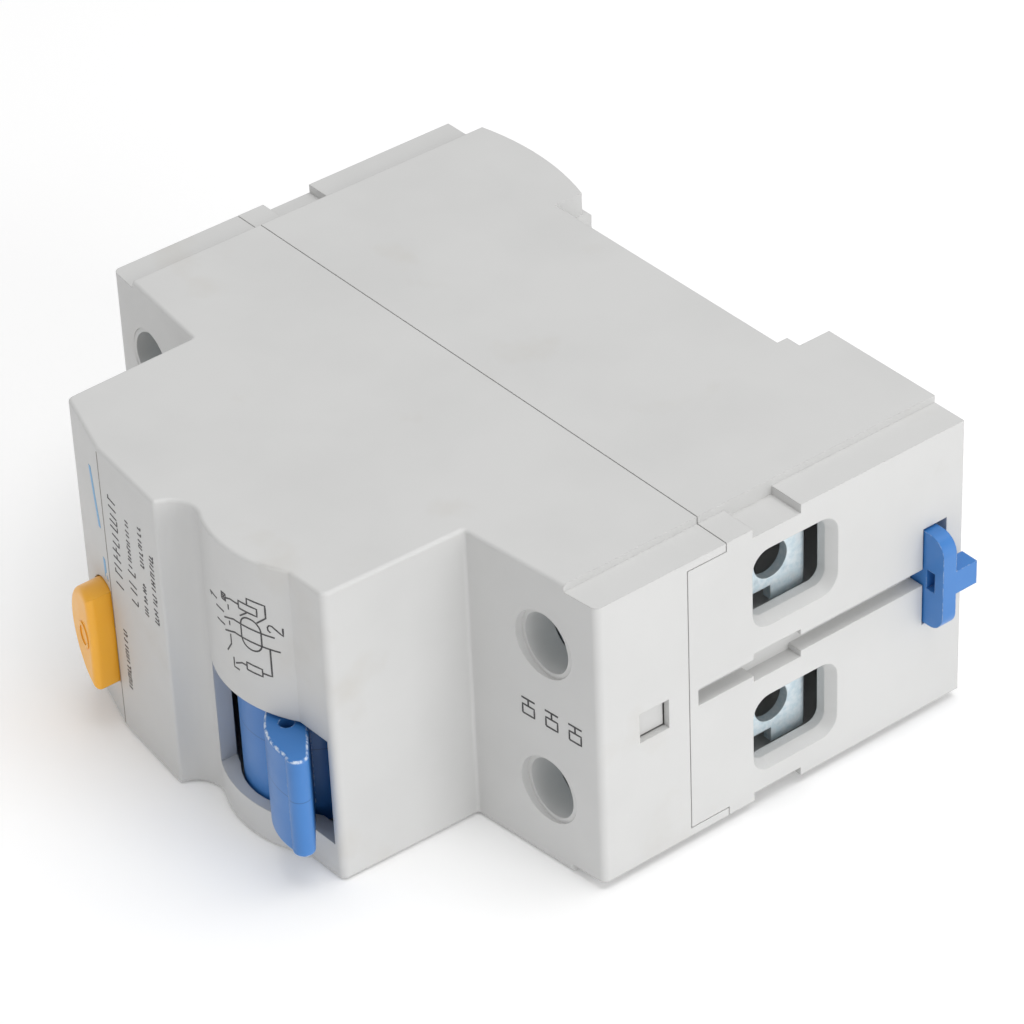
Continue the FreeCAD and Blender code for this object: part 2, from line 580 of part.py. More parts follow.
# Direction of the crank pin from the lever's pin, in the lever's own drawing.
CRANK_X = "(crank*cos(-90-crank_turn))"
CRANK_Y = "(crank*sin(-90-crank_turn))"
# The same pin with the lever at rest, and the pin it pulls on the open contact carrier.
LINK_X = "(lever_side+crank*cos(lever_rest-90-crank_turn))"
LINK_Y = "(-lever_high+crank*sin(lever_rest-90-crank_turn))"
PULL_X = "(carrier_side-link_arm*cos(carrier_open))"
PULL_Y = "(-carrier_high-link_arm*sin(carrier_open))"
LINK_LONG = "(hypot(%s-%s; %s-%s))" % (PULL_X, LINK_X, PULL_Y, LINK_Y)
LINK_TURN = "(atan2(%s-%s; %s-%s))" % (PULL_Y, LINK_Y, PULL_X, LINK_X)


def operating_lever():
    drum = rod("lever_drum", "z", "0", "0", "-drum_low", "drum_high", "drum_radius")
    paddle = profile("lever_paddle", [
        ("-paddle_flat", "-paddle_deep"),
        ("-paddle_root", "-paddle_deep"),
        ("-tip_line", "-paddle_shoulder", "-paddle_bulge", "-paddle_mid"),
        ("tip_load", "-paddle_shoulder", "-tip_mid", "-paddle_tip"),
    ], "-paddle_low", "paddle_low-paddle_high")
    root = -number("paddle_deep") - 1e-3
    soft_paddle = soften("lever_paddle_soft", paddle, "paddle_soft",
                         lambda edge: not along_z(edge) and edge.CenterOfMass.y < root)
    bore = rod("lever_bore", "z", "0", "0", "-drum_low-past", "drum_high+past", "pin_radius+pin_fit")
    seal = rod("lever_seal_hole", "z", "-seal_side", "-seal_high", "-paddle_low-past",
               "-paddle_high+past", "seal_hole")
    crank = rod("lever_crank_hole", "z", CRANK_X, CRANK_Y, "-link_low-link_play", "drum_high+past",
                "link_wire+link_fit")
    lever = cut("operating_lever", fuse("lever_blank", drum, soft_paddle), bore, seal, crank)
    return turned(lever, "lever_side", "-lever_high", "lever_rest")


def lever_link():
    """A wire bent at both ends, from the crank hole of the lever to the contact carrier."""
    link = fuse(
        "lever_link",
        rod("link_run", "x", "0", "link_high", "0", LINK_LONG, "link_wire"),
        rod("link_crank_end", "z", "0", "0", "-link_low", "link_high", "link_wire"),
        rod("link_carrier_end", "z", LINK_LONG, "0", "-link_low", "link_high", "link_wire"),
        ball("link_crank_bend", "0", "0", "link_high", "link_wire"),
        ball("link_carrier_bend", LINK_LONG, "0", "link_high", "link_wire"))
    return turned(link, LINK_X, LINK_Y, LINK_TURN)


def coil(name, along, first, second, start, end, radius, wire, pitch):
    """A round-wire spring as one swept solid."""
    helix = doc.addObject("Part::Helix", name + "_helix")
    bind(helix, "Radius", radius)
    bind(helix, "Pitch", pitch)
    bind(helix, "Height", "(%s)-(%s)-2*%s" % (end, start, wire))
    circle = doc.addObject("Part::Circle", name + "_wire")
    bind(circle, "Radius", wire)
    circle.Placement = FreeCAD.Placement(Vector(), FreeCAD.Rotation(Vector(1, 0, 0), 90))
    bind(circle, "Placement.Base.x", radius)
    sweep = doc.addObject("Part::Sweep", name)
    sweep.Sections = [circle]
    sweep.Spine = (helix, [])
    sweep.Solid = True
    sweep.Frenet = True
    return place(sweep, along, first, second, "(%s)+%s" % (start, wire))


def contact_carrier():
    """The shaft across both poles, drawn closed about its axle with its arms along -X."""
    hub = rod("carrier_hub", "z", "0", "0", "-carrier_half", "carrier_half", "hub_radius")
    pieces = [hub, box("carrier_lug", ("-lug_reach", "0"), ("-holder_thick", "holder_thick"),
                       ("-lug_low", "link_high-link_wire-link_play"))]
    tools = [rod("carrier_bore", "z", "0", "0", "-carrier_half-past", "carrier_half+past",
                 "axle_radius+pin_fit"),
             rod("carrier_link_hole", "z", "-link_arm", "0", "-lug_low-past", "link_high",
                 "link_wire+link_play")]
    for pole, side in POLES.items():
        z = span(side, "pole_half-holder_half", "pole_half+holder_half")
        pieces.append(box(pole + "_holder", ("-holder_reach", "0"), ("-holder_thick", "holder_thick"), z))
        tools.append(box(pole + "_holder_slot", ("-holder_reach-past", "-arm_root"),
                         ("-arm_thick/2", "arm_thick/2"),
                         span(side, "pole_half-arm_half", "pole_half+arm_half")))
    tools.append(box("carrier_link_way", ("-holder_reach", "-hub_radius/2"),
                     ("-hub_radius-past", "hub_radius+past"),
                     ("link_high-link_wire-link_play", "link_high+link_wire+link_play")))
    carrier = cut("contact_carrier", fuse("carrier_blank", *pieces), *tools)
    return turned(carrier, "carrier_side", "-carrier_high", "carrier_open")


def moving_contact(name, side):
    """A copper arm with its silver tip, drawn closed about the carrier's axle."""
    reach = "(contact_side+carrier_side)"
    arm = box(name + "_arm", ("-%s-arm_over" % reach, "-arm_root"), ("-arm_thick/2", "arm_thick/2"),
              span(side, "pole_half-arm_half", "pole_half+arm_half"))
    tip = rod(name + "_tip", "y", "%d*pole_half" % side, "-" + reach, "arm_thick/2",
              "arm_thick/2+tip_thick", "tip_radius")
    return turned(fuse(name, arm, tip), "carrier_side", "-carrier_high", "carrier_open")


# ---- Transformer, relay and trip lever ----------------------------------------------------------

def ring(name, half, outer, inner):
    """A flat ring about the transformer's axis."""
    start = "core_side-(%s)" % half
    end = "core_side+(%s)" % half
    disc = rod(name + "_disc", "x", "-core_high", "0", start, end, outer)
    hole = rod(name + "_hole", "x", "-core_high", "0", start + "-past", end + "+past", inner)
    return cut(name, disc, hole)


def transformer():
    half = "core_half+winding"
    outer = "core_out+winding"
    inner = "core_in-winding"
    ring("transformer_core", "core_half", "core_out", "core_in")
    winding = ring("winding_ring", half, outer, inner)
    room = ring("winding_room", "core_half", "core_out", "core_in")
    cut("secondary_winding", winding, room)
    case = ring("case_ring", half + "+case_wall", outer + "+case_wall", inner + "-case_wall")
    cut("transformer_case", case, ring("case_room", half, outer, inner))


def trip_relay():
    """The relay's can and coil with the plunger that it lets go."""
    x = ("-relay_out", "-relay_in")
    y = ("-relay_front", "-relay_rear")
    can = box("relay_can", x, y, ("-relay_half", "relay_half"))
    room = box("relay_room", ("-relay_out+relay_wall", "-relay_in-relay_wall"),
               ("-relay_front+relay_wall", "-relay_rear-relay_wall"),
               ("-relay_half+relay_wall", "relay_half-relay_wall"))
    bore = rod("relay_bore", "y", "0", "-plunger_side", "-relay_front-past",
               "-relay_front+relay_wall+past", "plunger_radius+plunger_fit")
    cut("relay_case", can, room, bore)
    wound = rod("relay_wound", "y", "0", "-plunger_side", "-relay_front+relay_wall",
                "-relay_rear-relay_wall", "relay_out-relay_wall-plunger_side-coil_gap")
    tunnel = rod("relay_tunnel", "y", "0", "-plunger_side", "-relay_front", "-relay_rear",
                 "plunger_radius+plunger_fit")
    cut("relay_coil", wound, tunnel)
    rod("relay_plunger", "y", "0", "-plunger_side", "-trip_high+trip_thick/2+plunger_gap",
        "-plunger_root", "plunger_radius")


def trip_lever():
    """A bell crank: one arm over the plunger and one finger towards the contact carrier."""
    hub = rod("trip_hub_body", "z", "-trip_side", "-trip_high", "-trip_half", "trip_half", "trip_hub")
    arm = box("trip_arm_body", ("-trip_side-trip_arm", "-trip_side"),
              ("-trip_high-trip_thick/2", "-trip_high+trip_thick/2"), ("-trip_half", "trip_half"))
    finger = box("trip_finger_body", ("-trip_side-trip_thick/2", "-trip_side+trip_thick/2"),
                 ("-trip_high-trip_finger", "-trip_high"), ("-trip_half", "trip_half"))
    bore = rod("trip_bore", "z", "-trip_side", "-trip_high", "-trip_half-past", "trip_half+past",
               "trip_pin+pin_fit")
    cut("trip_lever", fuse("trip_blank", hub, arm, finger), bore)
    rod("trip_lever_pin", "z", "-trip_side", "-trip_high", "-trip_half-trip_gap-cheek_thick",
        "trip_half+trip_gap+cheek_thick", "trip_pin")


# ---- Test button and test circuit ---------------------------------------------------------------

def facet(x):
    """Height of the line-side facet of the nose at x."""
    slope = "((crease_high-line_corner)/(nose_tip-crease_side))"
    return "(line_corner+(%s+nose_tip)*%s)" % (x, slope)


def test_button():
    """A D-shaped key with a face that slopes like the facet round it, a flange and a stem."""
    key = button_outline("button_key", "0", "-crest_high-2*button_proud", "-flange_front")
    left = "(-button_round-past)"
    right = "(-button_flat+past)"
    under = profile("button_slope", [
        (left, "-%s-button_proud" % facet(left)),
        (right, "-%s-button_proud" % facet(right)),
        (right, "-flange_front+past"),
        (left, "-flange_front+past"),
    ], "-body_width/2", "body_width")
    blank = common("button_cap", key, under)
    front = -number("line_corner+button_proud/2")
    cap = soften("button_soft_cap", blank, "button_soft", lambda edge: (
        edge.BoundBox.YMax < front and not along_y(edge)))
    flange = box("button_flange", ("-button_round-flange_over/2", "-button_flat+flange_over"),
                 ("-flange_front", "-flange_front+flange_thick"),
                 ("-button_middle-button_half-flange_over", "-button_middle+button_half+flange_over"))
    stem = rod("button_stem", "y", "-button_middle", "-stem_side", "-flange_front",
               "-leaf_front-button_travel-button_clear", "stem_radius")
    fuse("test_button", cap, flange, stem)


def along_y(edge):
    first, last = edge.Vertexes[0].Point, edge.Vertexes[-1].Point
    return abs(first.y - last.y) > 1 and abs(first.x - last.x) < 1e-6 and abs(first.z - last.z) < 1e-6


def test_circuit():
    y = ("-board_front", "-board_front+board_thick")
    low = "-" + INNER
    box("circuit_board", ("-board_out", "-board_in"), y, (low, "board_high"))
    rear = "-board_front+board_thick+resistor_radius+lead_radius"
    start = "-stem_side"
    end = "-stem_side+resistor_long"
    lead_y = ("-board_front+board_thick", rear)
    fuse("test_resistor",
         rod("resistor_body", "x", rear, "-button_middle", start, end, "resistor_radius"),
         rod("resistor_wire", "x", rear, "-button_middle", start + "-2*lead_radius-resistor_radius",
             end + "+2*lead_radius+resistor_radius", "lead_radius"),
         *[rod("resistor_lead_%d" % i, "y", "-button_middle", x, lead_y[0], lead_y[1], "lead_radius")
           for i, x in enumerate((start + "-resistor_radius", end + "+resistor_radius"))])
    z = ("-button_middle-leaf_half", "-button_middle+leaf_half")
    fuse("test_contact",
         box("leaf_foot", ("-stem_side+stem_radius+2*leaf_half", "-board_in-leaf_half"),
             ("-board_front-leaf_thick", "-board_front"), z),
         box("leaf_rise", ("-stem_side+stem_radius+2*leaf_half-leaf_thick",
                           "-stem_side+stem_radius+2*leaf_half"), ("-leaf_front", "-board_front"), z),
         box("leaf_bridge", ("-stem_side-leaf_half", "-stem_side+stem_radius+2*leaf_half"),
             ("-leaf_front", "-leaf_front+leaf_thick"), z))


# ---- Rail clip ----------------------------------------------------------------------------------

def rail_clip():
    """The sliding foot with its nose behind the rail and an eye for a screwdriver."""
    y = ("clip_front", "clip_front+clip_thick")
    plate = rounded("clip_plate", "y", ("-clip_half", "clip_half"), ("clip_start", "load_reach+clip_out"),
                    "clip_round", *y)
    square = box("clip_root", ("clip_start", "clip_start+2*clip_round"), y, ("-clip_half", "clip_half"))
    nose = profile("clip_nose_body", [
        ("clip_nose", "nose_front"),
        ("nose_end", "nose_front"),
        ("nose_end", "nose_rear"),
        ("nose_flat", "nose_rear"),
        ("clip_nose", "nose_slope"),
    ], "-clip_half", "2*clip_half")
    tip = "load_reach+clip_out"
    tab = box("clip_tab", (tip + "-tab_thick", tip), ("clip_front", "tab_rear"),
              ("-tab_half", "tab_half"))
    eye = box("clip_eye", (tip + "-eye_in-eye_long/2", tip + "-eye_in+eye_long/2"),
              ("clip_front-past", "clip_front+clip_thick+past"), ("-eye_half", "eye_half"))
    cut("rail_clip", fuse("clip_blank", plate, square, nose, tab), eye)


# ---- The whole device ---------------------------------------------------------------------------

front_cover()
rear_base()
NODES = ["front_cover", "rear_base", "operating_lever", "lever_pin", "lever_spring", "lever_link",
         "contact_carrier", "carrier_axle", "transformer_core", "secondary_winding",
         "transformer_case", "relay_case", "relay_coil", "relay_plunger", "trip_lever",
         "trip_lever_pin", "test_button", "button_spring", "circuit_board", "test_resistor",
         "test_contact", "rail_clip"]
for end, sign in ENDS.items():
    for pole, side in POLES.items():
        clamp_screw("%s_%s_screw" % (end, pole), sign, side)
        clamp_cage("%s_%s_cage" % (end, pole), sign, side)
        NODES += ["%s_%s_screw" % (end, pole), "%s_%s_cage" % (end, pole)]
for pole, side in POLES.items():
    line_strip(pole + "_line_strip", side)
    load_strip(pole + "_load_strip", side)
    primary_wire(pole + "_primary_wire", side)
    moving_contact(pole + "_moving_contact", side)
    NODES += [pole + "_line_strip", pole + "_load_strip", pole + "_primary_wire",
              pole + "_moving_contact"]
operating_lever()
rod("lever_pin", "z", "lever_side", "-lever_high", "-pin_end", "rib_high", "pin_radius")
coil("lever_spring", "z", "lever_side", "-lever_high", "coil_start", "coil_end", "coil_radius",
     "coil_wire", "coil_pitch")
lever_link()
contact_carrier()
rod("carrier_axle", "z", "carrier_side", "-carrier_high", "-" + INNER, INNER, "axle_radius")
transformer()
trip_relay()
trip_lever()
test_button()
coil("button_spring", "y", "-button_middle+coil_beside", "-stem_side",
     "-(flange_front-flange_thick-button_travel-button_clear)", "-board_front", "button_coil",
     "button_wire", "button_pitch")
test_circuit()
rail_clip()
doc.recompute()

for item in doc.Objects:
    if "Invalid" in item.State or "Error" in item.State:
        raise RuntimeError("%s failed: %s" % (item.Name, item.State))
os.makedirs("parts", exist_ok=True)
for name in NODES:
    node = doc.getObject(name)
    node.Label = name
    shape = node.Shape
    if shape.isNull() or not shape.isValid():
        raise RuntimeError(name + " has no valid shape")
    print("%-24s %d solid(s) %9.2f mm3" % (name, len(shape.Solids), shape.Volume))
for name in NODES:
    doc.getObject(name).Shape.exportStep("parts/%s.step" % name)
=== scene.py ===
# %% [markdown]
# A two-pole residual current device, lying on its left side on a pale table.
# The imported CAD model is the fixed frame: its solids are shown as they are, and this script gives
# them their finishes and adds what a CAD solid leaves out, such as print, threads and wire turns.
# Everything is in metres, in the CAD frame, so each added piece reads its place from the frame.

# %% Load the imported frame
import json
import math

import bmesh
import bpy
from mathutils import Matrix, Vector


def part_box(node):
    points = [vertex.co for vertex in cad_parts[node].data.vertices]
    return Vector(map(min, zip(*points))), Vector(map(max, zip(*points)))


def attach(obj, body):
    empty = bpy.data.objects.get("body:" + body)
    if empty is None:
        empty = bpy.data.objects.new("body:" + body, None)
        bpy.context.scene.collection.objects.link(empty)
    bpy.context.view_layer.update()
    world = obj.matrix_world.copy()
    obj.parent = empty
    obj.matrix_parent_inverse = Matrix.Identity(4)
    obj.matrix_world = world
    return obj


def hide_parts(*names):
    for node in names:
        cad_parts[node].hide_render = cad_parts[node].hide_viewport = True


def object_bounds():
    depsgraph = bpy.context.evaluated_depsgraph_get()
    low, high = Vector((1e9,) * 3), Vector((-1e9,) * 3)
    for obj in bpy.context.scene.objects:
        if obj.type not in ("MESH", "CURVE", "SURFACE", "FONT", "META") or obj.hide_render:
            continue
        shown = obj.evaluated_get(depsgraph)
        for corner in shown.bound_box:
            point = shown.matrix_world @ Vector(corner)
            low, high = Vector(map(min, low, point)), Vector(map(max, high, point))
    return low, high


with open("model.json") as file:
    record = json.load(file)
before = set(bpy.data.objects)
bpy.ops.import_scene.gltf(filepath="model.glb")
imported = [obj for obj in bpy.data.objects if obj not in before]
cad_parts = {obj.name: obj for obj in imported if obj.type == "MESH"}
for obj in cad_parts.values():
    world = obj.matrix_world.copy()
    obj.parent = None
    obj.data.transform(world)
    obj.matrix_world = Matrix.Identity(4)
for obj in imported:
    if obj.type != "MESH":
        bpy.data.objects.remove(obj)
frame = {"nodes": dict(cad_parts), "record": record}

cad_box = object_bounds()
print("CAD box, mm:", [round((b - a) * 1000, 1) for a, b in zip(*cad_box)])

# %% [markdown]
# Colours are written as sRGB hex codes, as a paint chart has them, but shader sockets work in
# linear light. One function turns the first into the second, so no colour is typed twice.
# A second function adds any node with its settings, and links its inputs. It serves the shader
# trees and the geometry trees alike, which keeps every tree readable from top to bottom. A node
# can be given as an input too: its output is then the one that the node shows, which on a Mix
# node is the one of its own data type.

# %% Colour and node helpers
MM = 0.001


def linear(code):
    """A #rrggbb colour as linear red, green, blue and alpha."""
    parts = [int(code[i:i + 2], 16) / 255 for i in (1, 3, 5)]
    return [c / 12.92 if c <= 0.04045 else ((c + 0.055) / 1.055) ** 2.4 for c in parts] + [1.0]


def shown(node):
    """The first output that a node shows."""
    return next(socket for socket in node.outputs if socket.enabled)


def add(tree, kind, inputs=None, **settings):
    """One node with its settings. An input gets a value, a node or another node's socket."""
    node = tree.nodes.new(kind)
    for name, value in settings.items():
        setattr(node, name, value)
    for name, value in (inputs or {}).items():
        value = shown(value) if isinstance(value, bpy.types.Node) else value
        if isinstance(value, bpy.types.NodeSocket):
            tree.links.new(value, node.inputs[name])
        else:
            node.inputs[name].default_value = value
    return node


print("mid grey is", [round(c, 3) for c in linear("#808080")[:3]], "in linear light")

# %% [markdown]
# Every finish starts the same way: a Principled shader on an output, and the object's own
# coordinates, which are millimetres on the real thing. A pattern of a given size then needs a
# scale of one over that size, and it stays put when a joint moves the part.
# Moulded and plated edges are never sharp. The Bevel node feels for nearby edges inside the
# renderer: its normal rounds them without touching the CAD mesh, and where that normal leaves the
# true one there is an edge. There the finishes paint the surface paler, a painted highlight.

# %% Start of a finish, and the edge finder
ON_FLAT, ON_EDGE = 0.995, 0.8   # how far the softened normal agrees with the true one


def start(name, **sockets):
    """A material with its shader, its tree and its object coordinates."""
    material = bpy.data.materials.new(name)
    material.use_nodes = True
    tree = material.node_tree
    tree.nodes.clear()
    shader = add(tree, "ShaderNodeBsdfPrincipled", sockets)
    add(tree, "ShaderNodeOutputMaterial", {"Surface": shader})
    place = add(tree, "ShaderNodeTexCoord").outputs["Object"]
    return material, tree, shader, place


def edges(tree, radius):
    """A softened normal, and a value that rises from 0 to 1 towards an edge."""
    soft = add(tree, "ShaderNodeBevel", {"Radius": radius}, samples=4)
    true = add(tree, "ShaderNodeNewGeometry").outputs["True Normal"]
    same = add(tree, "ShaderNodeVectorMath", {0: soft, 1: true}, operation="DOT_PRODUCT")
    edge = add(tree, "ShaderNodeMapRange", {"Value": same, "From Min": ON_FLAT, "From Max": ON_EDGE})
    return soft, edge


def dress(tree, shader, colour, roughness, normal):
    """Link what a finish worked out to its shader."""
    for socket, node in (("Base Color", colour), ("Roughness", roughness), ("Normal", normal)):
        tree.links.new(shown(node), shader.inputs[socket])


print("finish helpers ready")

# %% [markdown]
# The casing is moulded from glass-filled polyamide, and the lever, clip and button from plain
# nylon. A mould is spark-eroded, so its skin is an even fine grain that breaks up reflections.
# Three things keep it from looking like flat paint: a slow cloudiness from the way the melt
# flowed, faint smudges from hands, and a painted highlight that makes the edges paler, broken
# into chips like scuffs.
# The real grain is about 0.08 mm and would vanish in a render, so it is drawn at 0.25 mm.

# %% Moulded plastics
GRAIN, CHIP, SHEEN, SMUDGE, CLOUD = 0.25 * MM, 0.5 * MM, 3 * MM, 11 * MM, 14 * MM
GRAIN_DEPTH = 0.004 * MM
LINE_CORE, LINE_REACH = 0.03 * MM, 0.09 * MM   # half widths of a mould line: full, and faded out


def rim_highlight_and_wear(tree, chips, most):
    """Painted highlight, in chips, on the soft rims round a part's two ends, where the surface leans
    over towards Z.
    """
    true = add(tree, "ShaderNodeNewGeometry").outputs["True Normal"]
    lean = add(tree, "ShaderNodeSeparateXYZ", {0: true}).outputs["Z"]
    lean = add(tree, "ShaderNodeMath", {0: lean}, operation="ABSOLUTE")
    rising = add(tree, "ShaderNodeMapRange", {"Value": lean, "From Min": 0.25, "From Max": 0.5})
    falling = add(tree, "ShaderNodeMapRange", {
        "Value": lean, "From Min": 0.9, "From Max": 0.99, "To Min": 1.0, "To Max": 0.0})
    band = add(tree, "ShaderNodeMath", {0: rising, 1: falling}, operation="MULTIPLY")
    band = add(tree, "ShaderNodeMath", {0: band, 1: chips}, operation="MULTIPLY")
    return add(tree, "ShaderNodeMath", {0: band, 1: most}, operation="MULTIPLY")


def parting_line(tree, place, height):
    """The hair line where the halves of the mould met, at one height along Z."""
    up = add(tree, "ShaderNodeSeparateXYZ", {0: place}).outputs["Z"]
    away = add(tree, "ShaderNodeMath", {0: up, 1: height}, operation="SUBTRACT")
    away = add(tree, "ShaderNodeMath", {0: away}, operation="ABSOLUTE")
    return add(tree, "ShaderNodeMapRange", {
        "Value": away, "From Min": LINE_CORE, "From Max": LINE_REACH, "To Min": 0.5, "To Max": 0.0})


def moulded(name, body, cloud, smudge, highlight_wear_tone, rough, highlight_wear_share,
            round_edge=0.15 * MM, rim=0.0, parting=None, line="#1f4a80"):
    """A spark-eroded moulding: base, flow clouding, hand smudges and a painted edge highlight in chips.
    """
    material, tree, shader, place = start(name, IOR=1.53)
    flow = add(tree, "ShaderNodeTexNoise", {"Vector": place, "Scale": 1 / CLOUD, "Detail": 3.0})
    flow = add(tree, "ShaderNodeMapRange", {"Value": flow, "From Min": 0.4, "From Max": 0.7})
    colour = add(tree, "ShaderNodeMix", {0: flow, 6: linear(body), 7: linear(cloud)}, data_type="RGBA")
    hand = add(tree, "ShaderNodeTexNoise", {"Vector": place, "Scale": 1 / SMUDGE, "Detail": 8.0})
    hand = add(tree, "ShaderNodeMapRange", {
        "Value": hand, "From Min": 0.62, "From Max": 0.78, "To Max": 0.35})
    colour = add(tree, "ShaderNodeMix", {0: hand, 6: colour, 7: linear(smudge)}, data_type="RGBA")
    normal, edge = edges(tree, round_edge)
    chips = add(tree, "ShaderNodeTexNoise", {"Vector": place, "Scale": 1 / CHIP, "Detail": 4.0})
    chips = add(tree, "ShaderNodeMapRange", {"Value": chips, "From Min": 0.42, "From Max": 0.62})
    # Edges painted paler: a painted highlight along each edge, broken into chips like scuffs.
    painted_edge_highlight = add(tree, "ShaderNodeMath", {0: edge, 1: chips}, operation="MULTIPLY")
    painted_edge_highlight = add(tree, "ShaderNodeMath", {0: painted_edge_highlight, 1: highlight_wear_share}, operation="MULTIPLY")
    colour = add(tree, "ShaderNodeMix", {0: painted_edge_highlight, 6: colour, 7: linear(highlight_wear_tone)}, data_type="RGBA")
    # On the lever, a painted highlight on the rims round its two ends as well.
    if rim:
        band = rim_highlight_and_wear(tree, chips, rim)
        colour = add(tree, "ShaderNodeMix", {0: band, 6: colour, 7: linear(highlight_wear_tone)}, data_type="RGBA")
    if parting is not None:
        hair = parting_line(tree, place, parting)
        colour = add(tree, "ShaderNodeMix", {0: hair, 6: colour, 7: linear(line)}, data_type="RGBA")
    sheen = add(tree, "ShaderNodeTexNoise", {"Vector": place, "Scale": 1 / SHEEN, "Detail": 5.0})
    sheen = add(tree, "ShaderNodeMapRange", {
        "Value": sheen, "From Min": 0.3, "From Max": 0.7,
        "To Min": rough - 0.05, "To Max": rough + 0.07})
    grain = add(tree, "ShaderNodeTexNoise", {"Vector": place, "Scale": 1 / GRAIN, "Detail": 2.0})
    bump = add(tree, "ShaderNodeBump", {"Height": grain, "Distance": GRAIN_DEPTH, "Normal": normal})
    dress(tree, shader, colour, sheen, bump)
    return material


# The last colour given to each moulding is the pale tone of its painted edge highlight; for the blues
# it is the fourth of BLUES.
casing_nylon = moulded("glass_filled_polyamide_grey", "#d0d0cf", "#cccccb", "#c0bbb2", "#ebe8e3",
                       0.5, 0.35)
BLUES = ("#3f7fc6", "#3877bd", "#356fb2", "#dfeaf6")
blue_nylon = moulded("polyamide_blue", *BLUES, 0.36, 0.6)
# The lever: the strongest painted edge highlight, and a painted highlight on its rims.
lever_nylon = moulded("polyamide_blue_rim_highlight", *BLUES, 0.36, 1.0,
                      round_edge=0.25 * MM, rim=0.9, parting=-6.2 * MM)
orange_nylon = moulded("polyamide_orange", "#ffb833", "#fdb12b", "#f7a421", "#ffd88c", 0.34, 0.35)
dark_phenolic = moulded("phenolic_black", "#26262a", "#2c2c30", "#38373a", "#57565a", 0.55, 0.5)
wire_sleeve = moulded("pvc_sleeve_black", "#1c1c20", "#222226", "#2b2b2f", "#3b3b40", 0.42, 0.2)
plastics = (casing_nylon, blue_nylon, lever_nylon, orange_nylon, dark_phenolic, wire_sleeve)
print("plastics:", [m.name for m in plastics])

# %% [markdown]
# The metals are told apart by how their surface was made. Zinc plating that has been passivated
# is bluish and faintly mottled where the bath dried. Wire is drawn, so it carries fine lines along
# its length, and strip copper is rolled and has gone a little brown. A bare metal is metallic 1
# with the colour as its reflection, and the default index of refraction is left alone. The
# passivated zinc is set lower, because its milky film scatters half of the light.

# %% Metals
STAIN, STAIN_SHARE, METAL_EDGE_HIGHLIGHT = 1.6 * MM, 0.6, "#f4f5f6"


def metal(name, bright, dull, stain, rough, spread, mottle, stretch=None, metallic=1.0):
    """A metal with two tones, stains, uneven polish and a painted highlight along its edges."""
    material, tree, shader, place = start(name, Metallic=metallic)
    along = place
    if stretch:
        along = add(tree, "ShaderNodeMapping", {"Vector": place, "Scale": stretch})
    tone = add(tree, "ShaderNodeTexNoise", {"Vector": along, "Scale": 1 / mottle, "Detail": 5.0})
    tone = add(tree, "ShaderNodeMapRange", {"Value": tone, "From Min": 0.35, "From Max": 0.65})
    colour = add(tree, "ShaderNodeMix", {0: tone, 6: linear(bright), 7: linear(dull)}, data_type="RGBA")
    spots = add(tree, "ShaderNodeTexNoise", {"Vector": place, "Scale": 1 / STAIN, "Detail": 4.0})
    spots = add(tree, "ShaderNodeMapRange", {
        "Value": spots, "From Min": 0.6, "From Max": 0.72, "To Max": STAIN_SHARE})
    colour = add(tree, "ShaderNodeMix", {0: spots, 6: colour, 7: linear(stain)}, data_type="RGBA")
    normal, edge = edges(tree, 0.12 * MM)
    # Edges painted near white: a painted highlight along each edge.
    lift = add(tree, "ShaderNodeMath", {0: edge, 1: 0.6}, operation="MULTIPLY")
    colour = add(tree, "ShaderNodeMix", {0: lift, 6: colour, 7: linear(METAL_EDGE_HIGHLIGHT)}, data_type="RGBA")
    polish = add(tree, "ShaderNodeMapRange", {
        "Value": tone, "To Min": rough - spread, "To Max": rough + spread})
    ridges = add(tree, "ShaderNodeTexNoise", {"Vector": along, "Scale": 3 / mottle, "Detail": 3.0})
    bump = add(tree, "ShaderNodeBump", {"Height": ridges, "Distance": 0.006 * MM, "Normal": normal})
    dress(tree, shader, colour, polish, bump)
    return material


DRAWN = (0.12, 1.0, 1.0)
zinc_steel = metal("zinc_plated_steel_blue_passivated", "#eaf4f9", "#d2e3eb", "#b4c6cf", 0.46, 0.08,
                   0.7 * MM, metallic=0.55)
spring_wire = metal("spring_steel_drawn", "#b9babc", "#97989b", "#7d7b78", 0.3, 0.06, 0.2 * MM, DRAWN)
rolled_copper = metal("copper_rolled", "#d18a5f", "#b87450", "#8f5a3d", 0.3, 0.07, 0.8 * MM, DRAWN)
relay_iron = metal("nickel_plated_iron_drawn", "#c6c5c2", "#adaca8", "#95928c", 0.32, 0.06, 0.9 * MM)
print("metals:", [m.name for m in (zinc_steel, spring_wire, rolled_copper, relay_iron)])

# %% [markdown]
# Four finishes need a pattern of their own. The transformer core is one long alloy strip wound up
# like tape, so its faces show rings round its axis. Winding wire is copper under clear enamel,
# which is a coat over metal. The circuit board is glass cloth in resin. Real cloth shows threads
# both ways; only one way is drawn here, which is enough for a board inside a closed casing.
# The resistor is dipped in lacquer, and its value is painted on as plain rings.

# %% Wound strip, enamel, laminate and lacquer
core_low, core_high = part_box("transformer_core")
core_middle = (core_low + core_high) / 2
WAVE = 0.314   # metres between the bands of a Wave node whose scale is 1


